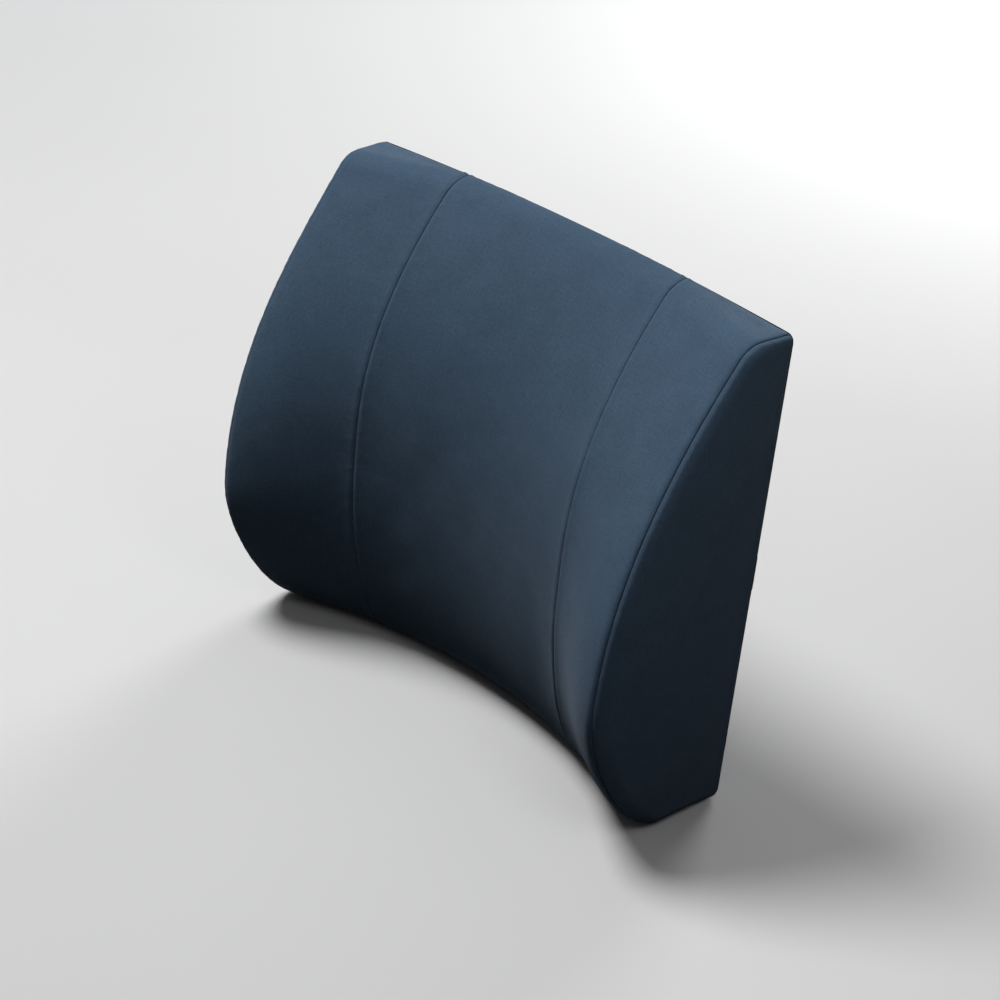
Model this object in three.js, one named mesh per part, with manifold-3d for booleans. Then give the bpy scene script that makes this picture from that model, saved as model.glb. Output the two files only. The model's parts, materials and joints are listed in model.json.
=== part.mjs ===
// A contoured lumbar support cushion: a moulded foam core with a stiff insert, a sewn cover of
// seven panels with a zip across the lower back, and a strap with a side-release buckle.
// Millimetres. X runs to the right seen from the front, the front faces -Y, Z is up.
// The origin is the bottom centre of the whole object's box. Until the last step every place is
// measured from the flat back face instead, which is then moved back by BACK_Y.
import * as THREE from "three";
import { mergeVertices } from "three/addons/utils/BufferGeometryUtils.js";
import Module from "manifold-3d";

const wasm = await Module();
wasm.setup();

// ---------- driving dimensions ----------
const WIDTH = 356;
const HEIGHT = 330;
const HALF = WIDTH / 2;
const SEAM_X = 94; // the two long seams in the front, either side of the centre panel
const CENTRE_RECESS = 21.5; // how far the middle of the front sinks behind its seams
const CROWN = 6; // how much lower the top edge is at its ends than in the middle
const EDGE_R_BACK = 5; // roll from the front panels to the side panels, at the back edge
const EDGE_R_FRONT = 11; // and at the front
const EDGE_ROLL_DEPTH = 78; // depth at which the roll reaches its full radius
const SIDE_SEAM_ANGLE = 0.375; // where on the roll the side seam lies, radians

// Fore-and-aft sections: at the outer edge, where the bolsters are fullest, and at the front seams.
// The top face turns over a corner radius into the front, which starts down at the slope, an angle
// from the vertical in radians. The pulls set how long each curve holds its end's direction.
const EDGE_SECTION = {
  top: 46,
  corner: 22,
  slope: 0.64,
  deepest: 127,
  deepestZ: 109,
  foot: 54,
  pulls: [71, 92, 42, 26],
};
const SEAM_SECTION = {
  top: 26.5,
  corner: 24,
  slope: 0.69,
  deepest: 83,
  deepestZ: 137,
  foot: 31,
  pulls: [107.5, 42, 53, 30],
};

const COVER = 1.2; // fabric with its backing
const GAP = 0.3; // free space between neighbouring pieces
const WALL_BACK = COVER + GAP; // the cover's walls start this far in front of the back face

const ZIP_Z = 45;
const ZIP_HALF_LENGTH = 150; // the opening in the back
const ZIP_HALF_OPENING = 6;
const OPENING_COLUMNS = 8; // cells of a back panel between the ends of the opening
const TAPE = { width: 13, thickness: 0.8, back: -WALL_BACK };
const COIL = { half: 142.5, width: 2.5, low: -1.2, high: 0.4 };
const STOP = { inner: 143.4, length: 3.4, width: 5.8, low: -1.2, high: 1.0 };

const SLIDER_X = 137; // closed
const SLIDER = { length: 10, width: 9.2, flange: 1.3, low: -1.1, plateLow: 1.0, plateHigh: 2.2 };
const BAIL = { spread: 3.1, post: 1.4, width: 2.4, high: 5.9, bridge: 0.7 };
const PULL_AXIS_Y = 4.0;
const PULL = { thickness: 1.4, bar: 0.8, ring: 5.0, width: 8.8, window: 5.4, length: 25 };

const FOAM_BACK = 2.6; // the foam's back face lies this far in front of the cushion's back face
const BOARD = { width: 260, low: 75, high: 300, thickness: 3, corner: 20 };
const SLEEVE = { margin: 8, thickness: 0.8 };

const STRAP_Z = 165;
const WEBBING = { width: 25, thickness: 1.4, standoff: 0.3 };
const STRAP_END_X = 175.5;
const LOW_LAYER_Y = WEBBING.standoff + WEBBING.thickness / 2;
const NEXT_LAYER_Y = LOW_LAYER_Y + WEBBING.thickness + GAP;
const LOOP_R = 2.5; // centre line of the webbing round a bar

// Side-release buckle for 25 mm webbing, its mouth towards +X.
const SOCKET = { left: -28, mouth: 8, half: 17, low: 0.6, high: 10.2, corner: 4 };
const CAVITY = { left: -16, half: 14, low: 2.4, high: 8.6 };
const WINDOW = { left: -13.4, right: -2.4 };
const SOCKET_BAR = { right: -23.7, low: 2.0, high: 5.0 };
const SLOT_HALF = 13.2;
const SOCKET_SLOT_RIGHT = -17.5;
const PLUG = { left: 8.4, right: 35.6, half: 16.5, low: 2.1, high: 8.0, corner: 3 };
const PLUG_SLOTS = [
  [16.5, 22],
  [26, 32],
];
const PLUG_BAR = { low: 3.8, high: 6.8 };
const END_BAR_HIGH = 6.2;
const PRONG = { left: -10, half: 2.4, low: 3.6, high: 7.4 };
const ARM = { low: 3.2, high: 7.8 };

const LABEL = { left: -172, width: 30, low: 72, height: 22, thickness: 0.5 };

// The whole reaches from the fullest point of the front to the outside of the buckle.
const BACK_Y = (EDGE_SECTION.deepest - SOCKET.high) / 2;

const finishes = {
  fabric: { color: 0x32475a, roughness: 0.92, metalness: 0 },
  backFabric: { color: 0x2a3a49, roughness: 0.95, metalness: 0 },
  foam: { color: 0xd9cfae, roughness: 1, metalness: 0 },
  board: { color: 0x8a6a45, roughness: 0.75, metalness: 0 },
  lining: { color: 0xc9c9c4, roughness: 0.95, metalness: 0 },
  tape: { color: 0x1f2a36, roughness: 0.9, metalness: 0 },
  coil: { color: 0x1a232d, roughness: 0.5, metalness: 0 },
  metal: { color: 0x8f9499, roughness: 0.35, metalness: 1 },
  webbing: { color: 0x14181d, roughness: 0.85, metalness: 0 },
  plastic: { color: 0x111214, roughness: 0.4, metalness: 0 },
  label: { color: 0xe8e6df, roughness: 0.8, metalness: 0 },
};

const cushion = new THREE.Group();

// ---------- helpers ----------
function material(finish) {
  return new THREE.MeshStandardMaterial(finishes[finish]);
}

function addPiece(name, geometry, finish) {
  const mesh = new THREE.Mesh(geometry, material(finish));
  mesh.name = name;
  cushion.add(mesh);
  return mesh;
}

// A flat outline drawn in X and Z becomes a plate between two places in Y.
function addPlate(name, shape, lowY, highY, finish) {
  const depth = highY - lowY;
  const geometry = new THREE.ExtrudeGeometry(shape, { depth, bevelEnabled: false, curveSegments: 5 });
  const mesh = addPiece(name, geometry, finish);
  mesh.rotation.x = Math.PI / 2;
  mesh.position.y = highY;
  return mesh;
}

function plateSolid(shape, lowY, highY) {
  const depth = highY - lowY;
  const geometry = new THREE.ExtrudeGeometry(shape, { depth, bevelEnabled: false, curveSegments: 5 });
  return solid(geometry.rotateX(Math.PI / 2).translate(0, highY, 0));
}

function boxSolid([x0, x1], [y0, y1], [z0, z1]) {
  const box = new THREE.BoxGeometry(x1 - x0, y1 - y0, z1 - z0);
  return solid(box.translate((x0 + x1) / 2, (y0 + y1) / 2, (z0 + z1) / 2));
}

// A closed three.js geometry as a solid that can be joined and cut.
function solid(geometry) {
  const bare = new THREE.BufferGeometry();
  bare.setAttribute("position", geometry.getAttribute("position"));
  bare.setIndex(geometry.index);
  const merged = mergeVertices(bare, 1e-4);
  return new wasm.Manifold(
    new wasm.Mesh({
      numProp: 3,
      vertProperties: merged.attributes.position.array,
      triVerts: new Uint32Array(merged.index.array),
    }),
  );
}

function geometryOf(manifold) {
  const mesh = manifold.getMesh();
  const geometry = new THREE.BufferGeometry();
  geometry.setAttribute("position", new THREE.BufferAttribute(mesh.vertProperties, 3));
  geometry.setIndex(new THREE.BufferAttribute(mesh.triVerts, 1));
  const flat = geometry.toNonIndexed();
  flat.computeVertexNormals();
  return flat;
}

// A rounded rectangle in X and Z.
function roundedRect(x0, x1, z0, z1, r) {
  const shape = new THREE.Shape();
  shape.moveTo(x0 + r, z0);
  shape.lineTo(x1 - r, z0);
  shape.absarc(x1 - r, z0 + r, r, -Math.PI / 2, 0, false);
  shape.lineTo(x1, z1 - r);
  shape.absarc(x1 - r, z1 - r, r, 0, Math.PI / 2, false);
  shape.lineTo(x0 + r, z1);
  shape.absarc(x0 + r, z1 - r, r, Math.PI / 2, Math.PI, false);
  shape.lineTo(x0, z0 + r);
  shape.absarc(x0 + r, z0 + r, r, Math.PI, 1.5 * Math.PI, false);
  return shape;
}

// Triangles collected one four-sided patch at a time, then closed into one body.
class Patches {
  constructor() {
    this.points = [];
  }
  quad(a, b, c, d) {
    this.points.push(a, b, c, a, c, d);
  }
  triangle(a, b, c) {
    this.points.push(a, b, c);
  }
  // Patches between two rows of the same number of points. A flipped strip faces the other way
  // and keeps its diagonals, so that a skin and its lining stay parallel.
  strip(rowA, rowB, flipped = false) {
    for (let j = 0; j + 1 < rowA.length; j++) {
      const [a, b, c, d] = [rowA[j], rowA[j + 1], rowB[j + 1], rowB[j]];
      if (flipped) this.points.push(a, c, b, a, d, c);
      else this.quad(a, b, c, d);
    }
  }
  geometry() {
    const signedVolume = this.points.reduce((sum, p, i, all) => {
      return i % 3 ? sum : sum + p.dot(all[i + 1].clone().cross(all[i + 2]));
    }, 0);
    const facingOut = [];
    for (let i = 0; i < this.points.length; i += 3) {
      const [a, b, c] = this.points.slice(i, i + 3);
      facingOut.push(...(signedVolume > 0 ? [a, b, c] : [a, c, b]));
    }
    const geometry = new THREE.BufferGeometry().setFromPoints(facingOut);
    geometry.computeVertexNormals();
    return geometry;
  }
}

// ---------- the cushion's shape ----------
// One section as points of (depth in front of the back face, height), from the top back edge
// over the front to the bottom back edge.
function sectionPoints({ top, corner, slope, deepest, deepestZ, foot, pulls }) {
  const [leave, arrive, drop, tuck] = pulls;
  const middle = new THREE.Vector2(top - corner, HEIGHT - corner);
  const start = new THREE.Vector2(
    middle.x + corner * Math.cos(slope),
    middle.y + corner * Math.sin(slope),
  );
  const curves = [
    [new THREE.LineCurve(new THREE.Vector2(0, HEIGHT), new THREE.Vector2(middle.x, HEIGHT)), 1],
    [new THREE.EllipseCurve(middle.x, middle.y, corner, corner, Math.PI / 2, slope, true), 4],
    [
      new THREE.CubicBezierCurve(
        start,
        new THREE.Vector2(start.x + leave * Math.sin(slope), start.y - leave * Math.cos(slope)),
        new THREE.Vector2(deepest, deepestZ + arrive),
        new THREE.Vector2(deepest, deepestZ),
      ),
      12,
    ],
    [
      new THREE.CubicBezierCurve(
        new THREE.Vector2(deepest, deepestZ),
        new THREE.Vector2(deepest, deepestZ - drop),
        new THREE.Vector2(foot + tuck, 0),
        new THREE.Vector2(foot, 0),
      ),
      10,
    ],
    [new THREE.LineCurve(new THREE.Vector2(foot, 0), new THREE.Vector2(0, 0)), 1],
  ];
  const points = [new THREE.Vector2(0, HEIGHT)];
  for (const [curve, pieces] of curves) {
    points.push(...curve.getPoints(pieces).slice(1));
  }
  return points;
}

const edgeSection = sectionPoints(EDGE_SECTION);
const seamSection = sectionPoints(SEAM_SECTION);
const ROW = edgeSection.length;

// The section point j at a distance x from the centre line, before the edge is rolled.
function basePoint(x, j) {
  const away = Math.abs(x);
  if (away <= SEAM_X) {
    const p = seamSection[j].clone();
    const sunk = CENTRE_RECESS * (1 - (away / SEAM_X) ** 2);
    p.x -= (sunk * p.x) / SEAM_SECTION.deepest;
    return p;
  }
  const k = Math.min(1, (away - SEAM_X) / (HALF - EDGE_R_FRONT - SEAM_X));
  const eased = 0.5 * k + 0.5 * k * k * (3 - 2 * k);
  return seamSection[j].clone().lerp(edgeSection[j], eased);
}

// The top edge is highest in the middle. The drop fades out towards the foot.
function crowned(x, height) {
  return height - CROWN * (x / HALF) ** 2 * (height / HEIGHT) ** 2;
}

// The roll's radius is small at the back edge and full over the front.
function edgeRadius(j) {
  const share = Math.min(1, edgeSection[j].x / EDGE_ROLL_DEPTH);
  return EDGE_R_BACK + (EDGE_R_FRONT - EDGE_R_BACK) * share * (2 - share);
}

// A point of the skin, sunk below the outer surface. A station is a place across the cushion:
// x in the centre panel, reach (0 to 1) over a bolster, and roll, the angle round its edge.
function skinPoint(station, j, sunk, back) {
  const r = edgeRadius(j);
  const rollStart = HALF - r;
  const near = SEAM_X + (station.seamGap ?? 0);
  const flatX = station.x ?? station.side * (near + station.reach * (rollStart - near));
  const angle = (station.roll ?? 0) + (station.rollGap ?? 0) / r;
  const x = flatX + (station.side ?? 0) * (r - sunk) * Math.sin(angle);
  const inset = r - (r - sunk) * Math.cos(angle);
  const before = basePoint(flatX, Math.max(0, j - 1));
  const after = basePoint(flatX, Math.min(ROW - 1, j + 1));
  const along = after.sub(before).normalize();
  const p = basePoint(flatX, j);
  const depth = p.x + inset * along.y;
  const height = p.y - inset * along.x;
  return new THREE.Vector3(x, -Math.max(back, depth), crowned(x, height));
}

function skinRow(station, sunk, back) {
  return Array.from({ length: ROW }, (_, j) => skinPoint(station, j, sunk, back));
}

// The D-shaped face at the end of a row, filled with triangles.
function capTriangles(patches, row, flip) {
  const outline = row.map((p) => new THREE.Vector2(p.y, p.z));
  for (const [a, b, c] of THREE.ShapeUtils.triangulateShape(outline, [])) {
    if (flip) patches.triangle(row[a], row[c], row[b]);
    else patches.triangle(row[a], row[b], row[c]);
  }
}

// A cover panel that runs over the top, down the front and under the cushion.
function wrapPanel(stations) {
  const patches = new Patches();
  const outer = stations.map((s) => skinRow(s, 0, WALL_BACK));
  const inner = stations.map((s) => skinRow(s, COVER, WALL_BACK));
  for (let i = 0; i + 1 < stations.length; i++) {
    patches.strip(outer[i], outer[i + 1]);
    patches.strip(inner[i], inner[i + 1], true);
    for (const j of [0, ROW - 1]) {
      const corners = [outer[i][j], outer[i + 1][j], inner[i + 1][j], inner[i][j]];
      patches.quad(...(j ? corners.reverse() : corners));
    }
  }
  const last = stations.length - 1;
  patches.strip(inner[0], outer[0]);
  patches.strip(outer[last], inner[last]);
  return patches.geometry();
}

// A side panel: the rolled edge outside the side seam, and the D-shaped flat it surrounds.
function sidePanel(side) {
  const rollStep = (Math.PI / 2 - SIDE_SEAM_ANGLE) / 4;
  const stations = [0, 1, 2, 3, 4].map((i) => ({
    side,
    reach: 1,
    roll: SIDE_SEAM_ANGLE + i * rollStep,
    rollGap: i ? 0 : GAP / 2,
  }));
  const patches = new Patches();
  const outer = stations.map((s) => skinRow(s, 0, WALL_BACK));
  const inner = stations.map((s) => skinRow(s, COVER, WALL_BACK));
  for (let i = 0; i < 4; i++) {
    patches.strip(outer[i], outer[i + 1]);
    patches.strip(inner[i], inner[i + 1], true);
    patches.quad(outer[i][0], outer[i + 1][0], inner[i + 1][0], inner[i][0]);
    const end = ROW - 1;
    patches.quad(outer[i + 1][end], outer[i][end], inner[i][end], inner[i + 1][end]);
  }
  patches.strip(inner[0], outer[0]);
  capTriangles(patches, outer[4], false);
  capTriangles(patches, inner[4], true);
  patches.quad(outer[4][0], outer[4][ROW - 1], inner[4][ROW - 1], inner[4][0]);
  return patches.geometry();
}

const steps = (count) => Array.from({ length: count + 1 }, (_, i) => i / count);

function bolsterStations(side, seamGap, rollGap) {
  const flat = steps(5).map((reach) => ({ side, reach, seamGap }));
  const rolled = [0.5, 1].map((share) => ({
    side,
    reach: 1,
    seamGap,
    roll: share * SIDE_SEAM_ANGLE,
    rollGap: share === 1 ? rollGap : 0,
  }));
  return [...flat, ...rolled];
}

function centreStations(halfWidth) {
  return steps(8).map((share) => ({ x: halfWidth * (2 * share - 1) }));
}

// ---------- foam, insert and cover ----------
function foamCore() {
  const sunk = COVER + GAP;
  const right = [
    ...bolsterStations(1, 0, 0),
    ...[0.5, 1].map((share) => ({
      side: 1,
      reach: 1,
      roll: SIDE_SEAM_ANGLE + share * (Math.PI / 2 - SIDE_SEAM_ANGLE),
    })),
  ];
  const left = right.map((station) => ({ ...station, side: -1 })).reverse();
  const stations = [...left, ...centreStations(SEAM_X).slice(1, -1), ...right];
  const rows = stations.map((s) => skinRow(s, sunk, FOAM_BACK));
  const patches = new Patches();
  for (let i = 0; i + 1 < rows.length; i++) {
    patches.strip([...rows[i], rows[i][0]], [...rows[i + 1], rows[i + 1][0]]);
  }
  capTriangles(patches, rows[0], true);
  capTriangles(patches, rows[rows.length - 1], false);
  const block = solid(patches.geometry());
  const half = BOARD.width / 2 + GAP;
  const recess = plateSolid(
    roundedRect(-half, half, BOARD.low - GAP, BOARD.high + GAP, BOARD.corner),
    -FOAM_BACK - BOARD.thickness - GAP,
    1,
  );
  return geometryOf(block.subtract(recess));
}

function insertBoard() {
  const half = BOARD.width / 2;
  return roundedRect(-half, half, BOARD.low, BOARD.high, BOARD.corner);
}

function sleevePanel() {
  const half = BOARD.width / 2 + SLEEVE.margin;
  return roundedRect(-half, half, BOARD.low - SLEEVE.margin, BOARD.high + SLEEVE.margin, BOARD.corner);
}

// A plate of cells between columns in X and rows in Z, some left out. Each row gives its own
// half width, so that rounded corners are a few short rows.
function cellPlate(rows, columnsAt, isCell) {
  const patches = new Patches();
  const [backY, frontY] = [0, -COVER];
  const grid = rows.map((row) => columnsAt(row.half).map((x) => [x, crowned(x, row.z)]));
  const across = grid[0].length - 1;
  const at = ([x, z], y) => new THREE.Vector3(x, y, z);
  const inside = (i, k) => i >= 0 && k >= 0 && i + 1 < rows.length && k < across;
  const present = (i, k) => inside(i, k) && isCell(i, k);
  for (let i = 0; i + 1 < rows.length; i++) {
    for (let k = 0; k < across; k++) {
      if (!present(i, k)) continue;
      const cell = [grid[i][k], grid[i][k + 1], grid[i + 1][k + 1], grid[i + 1][k]];
      patches.quad(...cell.map((c) => at(c, backY)).reverse());
      patches.quad(...cell.map((c) => at(c, frontY)));
      const outside = [!present(i - 1, k), !present(i, k + 1), !present(i + 1, k), !present(i, k - 1)];
      outside.forEach((open, edge) => {
        const [a, b] = [cell[edge], cell[(edge + 1) % 4]];
        if (open) patches.quad(at(b, frontY), at(a, frontY), at(a, backY), at(b, backY));
      });
    }
  }
  return patches.geometry();
}

// Rows through a rounded corner, from the panel's end inwards.
function cornerRows(edgeZ, towards) {
  return [0, 1, 2].map((i) => {
    const turn = (i * Math.PI) / 6;
    return {
      z: edgeZ + towards * EDGE_R_BACK * (1 - Math.cos(turn)),
      half: HALF - EDGE_R_BACK * (1 - Math.sin(turn)),
    };
  });
}

// A back panel, cut away over the zip.
function backPanel(isUpper) {
  const sign = isUpper ? 1 : -1;
  const meeting = { z: ZIP_Z + (sign * GAP) / 2, half: HALF };
  const opening = { z: ZIP_Z + sign * ZIP_HALF_OPENING, half: HALF };
  const edgeZ = isUpper ? HEIGHT : 0;
  const corner = cornerRows(edgeZ, -sign).reverse();
  const strapClear = STRAP_Z + WEBBING.width / 2 + 8;
  const straight = isUpper ? [strapClear, HEIGHT - EDGE_R_BACK] : [EDGE_R_BACK];
  const rows = [meeting, opening, ...straight.map((z) => ({ z, half: HALF })), ...corner];
  const overZip = steps(OPENING_COLUMNS).map((share) => ZIP_HALF_LENGTH * (2 * share - 1));
  const columnsAt = (half) => [-half, ...overZip, half];
  return cellPlate(rows, columnsAt, (i, k) => i > 0 || k === 0 || k > OPENING_COLUMNS);
}

function addFoamAndCover() {
  addPiece("foam_core", foamCore(), "foam");
  const boardBack = -FOAM_BACK;
  addPlate("support_board", insertBoard(), boardBack - BOARD.thickness, boardBack, "board");
  addPlate("board_sleeve", sleevePanel(), -WALL_BACK - SLEEVE.thickness, -WALL_BACK, "lining");
  addPiece("cover_front_centre", wrapPanel(centreStations(SEAM_X - GAP / 2)), "fabric");
  // Like the foam, the left panel runs from left to right, so that their facets stay parallel.
  const leftStations = bolsterStations(-1, GAP / 2, -GAP / 2).reverse();
  addPiece("cover_front_left", wrapPanel(leftStations), "fabric");
  addPiece("cover_front_right", wrapPanel(bolsterStations(1, GAP / 2, -GAP / 2)), "fabric");
  addPiece("cover_side_left", sidePanel(-1), "fabric");
  addPiece("cover_side_right", sidePanel(1), "fabric");
  addPiece("cover_back_upper", backPanel(true), "backFabric");
  addPiece("cover_back_lower", backPanel(false), "backFabric");
}

// ---------- zip ----------
function addZip() {
  const tapeHalf = ZIP_HALF_LENGTH + 2;
  for (const [place, sign] of [["upper", 1], ["lower", -1]]) {
    const near = ZIP_Z + (sign * GAP) / 2;
    const far = near + sign * TAPE.width;
    const tape = roundedRect(-tapeHalf, tapeHalf, Math.min(near, far), Math.max(near, far), 0.4);
    addPlate(`zip_tape_${place}`, tape, TAPE.back - TAPE.thickness, TAPE.back, "tape");
    addPiece(`zip_coil_${place}`, coilRow(sign), "coil").position.set(-COIL.half, 0, ZIP_Z);
  }
  for (const [place, sign] of [["left", -1], ["right", 1]]) {
    const stop = addPiece(`zip_stop_${place}`, stopBlock(), "metal");
    stop.position.set(sign * (STOP.inner + STOP.length / 2), (STOP.low + STOP.high) / 2, ZIP_Z);
  }
}

// One row of the coil, drawn as its half-round cross-section run along the zip.
function coilRow(sign) {
  const middle = sign * (GAP / 2 + COIL.width / 2);
  const shape = new THREE.Shape();
  shape.moveTo(-(middle + COIL.width / 2), COIL.low);
  shape.lineTo(-(middle - COIL.width / 2), COIL.low);
  const round = (COIL.low + COIL.high) / 2;
  shape.absellipse(-middle, round, COIL.width / 2, COIL.high - round, 0, Math.PI, false);
  const options = { depth: 2 * COIL.half, bevelEnabled: false, curveSegments: 6 };
  return new THREE.ExtrudeGeometry(shape, options).rotateY(Math.PI / 2);
}

function stopBlock() {
  const shape = new THREE.Shape();
  const [half, top] = [STOP.width / 2, (STOP.high - STOP.low) / 2];
  shape.moveTo(-half, -top);
  shape.lineTo(half, -top);
  shape.lineTo(half, top - 0.8);
  shape.quadraticCurveTo(half, top, half - 0.8, top);
  shape.lineTo(0.8 - half, top);
  shape.quadraticCurveTo(-half, top, -half, top - 0.8);
  const options = { depth: STOP.length, bevelEnabled: false, curveSegments: 3 };
  return new THREE.ExtrudeGeometry(shape, options).rotateY(Math.PI / 2).translate(-STOP.length / 2, 0, 0);
}

// The slider's outer plate with a flange down each side of the coil and a bail for the pull.
function sliderBody() {
  const { length, width, flange, low, plateLow, plateHigh } = SLIDER;
  const [halfX, halfZ] = [length / 2, width / 2];
  let body = plateSolid(roundedRect(-halfX, halfX, -halfZ, halfZ, 2), plateLow, plateHigh);
  for (const side of [-1, 1]) {
    const edges = [side * halfZ, side * (halfZ - flange)].sort((a, b) => a - b);
    body = body.add(boxSolid([2 - halfX, halfX - 2], [low, plateLow + 0.4], edges));
  }
  const bailWidth = [-BAIL.width / 2, BAIL.width / 2];
  const reach = BAIL.spread + BAIL.post / 2;
  const bail = boxSolid([-reach, reach], [plateHigh - 0.4, BAIL.high], bailWidth);
  const eye = boxSolid(
    [-BAIL.spread + BAIL.post / 2, BAIL.spread - BAIL.post / 2],
    [plateHigh - 1, BAIL.high - BAIL.bridge],
    [-BAIL.width, BAIL.width],
  );
  return body.add(bail.subtract(eye).add(boxSolid([-1, 1], [plateLow, plateHigh], bailWidth)));
}

// The pull hangs from its end bar, which is its pivot, and lies towards -X.
function pullShape() {
  const { bar, ring, width, window, length } = PULL;
  const half = width / 2;
  const shape = new THREE.Shape();
  shape.moveTo(bar, -half);
  shape.lineTo(bar, half);
  shape.lineTo(-ring - 2, half);
  shape.quadraticCurveTo(-ring - 6, half - 2.2, -ring - 10, half - 2.2);
  shape.lineTo(3.5 - length, half - 1.6);
  shape.absarc(3.5 - length, 0, half - 1.6, Math.PI / 2, 1.5 * Math.PI, false);
  shape.lineTo(-ring - 10, 2.2 - half);
  shape.quadraticCurveTo(-ring - 6, 2.2 - half, -ring - 2, -half);
  const hole = new THREE.Path();
  hole.moveTo(-bar, -window / 2);
  hole.lineTo(-ring, -window / 2);
  hole.lineTo(-ring, window / 2);
  hole.lineTo(-bar, window / 2);
  shape.holes.push(hole);
  return shape;
}

function addSlider() {
  const slider = addPiece("zip_slider", geometryOf(sliderBody()), "metal");
  slider.position.set(SLIDER_X, 0, ZIP_Z);
  const pull = addPlate("zip_pull", pullShape(), 0, PULL.thickness, "metal");
  pull.position.set(SLIDER_X, PULL_AXIS_Y + PULL.thickness / 2, ZIP_Z);
}

// ---------- strap ----------
// Webbing along a path in X and Y, its width along Z.
function ribbon(path, pieces) {
  const points = path.getPoints(pieces);
  const tidy = points.filter((p, i) => i === 0 || p.distanceTo(points[i - 1]) > 1e-3);
  const side = (sign) =>
    tidy.map((p, i) => {
      const before = tidy[Math.max(0, i - 1)];
      const after = tidy[Math.min(tidy.length - 1, i + 1)];
      const along = after.clone().sub(before).normalize();
      const offset = (sign * WEBBING.thickness) / 2;
      return new THREE.Vector2(p.x - along.y * offset, p.y + along.x * offset);
    });
  const shape = new THREE.Shape([...side(-1), ...side(1).reverse()]);
  const options = { depth: WEBBING.width, bevelEnabled: false };
  return new THREE.ExtrudeGeometry(shape, options).translate(0, 0, STRAP_Z - WEBBING.width / 2);
}

// From the left seam to the socket's bar, round it and back onto itself.
function leftStrap() {
  const barY = LOW_LAYER_Y + LOOP_R;
  const turnX = SOCKET_BAR.right;
  const path = new THREE.Path();
  path.moveTo(-STRAP_END_X, LOW_LAYER_Y);
  path.lineTo(turnX, LOW_LAYER_Y);
  path.absarc(turnX, barY, LOOP_R, -Math.PI / 2, Math.PI / 2, false);
  path.lineTo(turnX - 5, barY + LOOP_R);
  path.bezierCurveTo(turnX - 11, barY + LOOP_R, turnX - 11, NEXT_LAYER_Y, turnX - 18, NEXT_LAYER_Y);
  path.lineTo(turnX - 50, NEXT_LAYER_Y);
  return ribbon(path, 8);
}

// The long part from the right seam, flat as far as the ladder bars.
function rightStrap() {
  const path = new THREE.Path();
  path.moveTo(PLUG_SLOTS[1][0], LOW_LAYER_Y);
  path.lineTo(STRAP_END_X, LOW_LAYER_Y);
  return ribbon(path, 1);
}

// The adjusting end: round the ladder bar, over the end bar and back along the strap.
function strapTail() {
  const barY = NEXT_LAYER_Y + LOOP_R + 0.1;
  const [turnX, topY] = [PLUG_SLOTS[0][1], NEXT_LAYER_Y + 0.1 + 2 * LOOP_R];
  const path = new THREE.Path();
  path.moveTo(turnX + 8, NEXT_LAYER_Y + 0.1);
  path.lineTo(turnX, NEXT_LAYER_Y + 0.1);
  path.absarc(turnX, barY, LOOP_R, -Math.PI / 2, Math.PI / 2, true);
  path.lineTo(PLUG.right, topY);
  path.bezierCurveTo(PLUG.right + 6, topY, PLUG.right + 5, NEXT_LAYER_Y, PLUG.right + 12, NEXT_LAYER_Y);
  path.lineTo(PLUG.right + 70, NEXT_LAYER_Y);
  return ribbon(path, 8);
}

function socketBody() {
  const { left, mouth, half, low, high, corner } = SOCKET;
  let body = plateSolid(roundedRect(left, mouth, -half, half, corner), low, high);
  const beyond = half + 1;
  const over = high + 1;
  body = body
    .subtract(boxSolid([CAVITY.left, mouth + 1], [CAVITY.low, CAVITY.high], [-CAVITY.half, CAVITY.half]))
    .subtract(boxSolid([WINDOW.left, WINDOW.right], [CAVITY.low, CAVITY.high], [-beyond, beyond]))
    .subtract(boxSolid([SOCKET_BAR.right, SOCKET_SLOT_RIGHT], [low - 1, over], [-SLOT_HALF, SLOT_HALF]))
    .subtract(boxSolid([left - 1, SOCKET_SLOT_RIGHT], [SOCKET_BAR.high, over], [-SLOT_HALF, SLOT_HALF]))
    .subtract(boxSolid([left - 1, SOCKET_SLOT_RIGHT], [low - 1, SOCKET_BAR.low], [-SLOT_HALF, SLOT_HALF]));
  return geometryOf(body);
}

function plugBody() {
  const { left, right, half, low, high, corner } = PLUG;
  let body = plateSolid(roundedRect(left, right, -half, half, corner), low, high);
  for (const [slotLeft, slotRight] of PLUG_SLOTS) {
    body = body.subtract(boxSolid([slotLeft, slotRight], [low - 1, high + 1], [-SLOT_HALF, SLOT_HALF]));
  }
  const ladder = PLUG_SLOTS[0][0];
  body = body
    .subtract(boxSolid([ladder, right + 1], [PLUG_BAR.high, high + 1], [-SLOT_HALF, SLOT_HALF]))
    .subtract(boxSolid([PLUG_SLOTS[1][0], right + 1], [END_BAR_HIGH, high + 1], [-SLOT_HALF, SLOT_HALF]))
    .subtract(boxSolid([ladder, right + 1], [low - 1, PLUG_BAR.low], [-SLOT_HALF, SLOT_HALF]));
  const prong = plateSolid(
    roundedRect(PRONG.left, left + 2, -PRONG.half, PRONG.half, 2),
    PRONG.low,
    PRONG.high,
  );
  return geometryOf(body.add(prong));
}

// A release arm beside the prong, with the pad that fills the socket's window.
function armShape(side) {
  const outline = [
    [PLUG.left - GAP, 8.2],
    [PLUG.left - GAP, 11],
    [-2.8, 11.4],
    [-2.8, 15.4],
    [-3.8, 16.4],
    [-9.6, 16.4],
    [-12.4, 13.4],
    [-14, 10.4],
    [-13.2, 8.4],
  ];
  return new THREE.Shape(outline.map(([x, z]) => new THREE.Vector2(x, side * z)));
}

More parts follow.
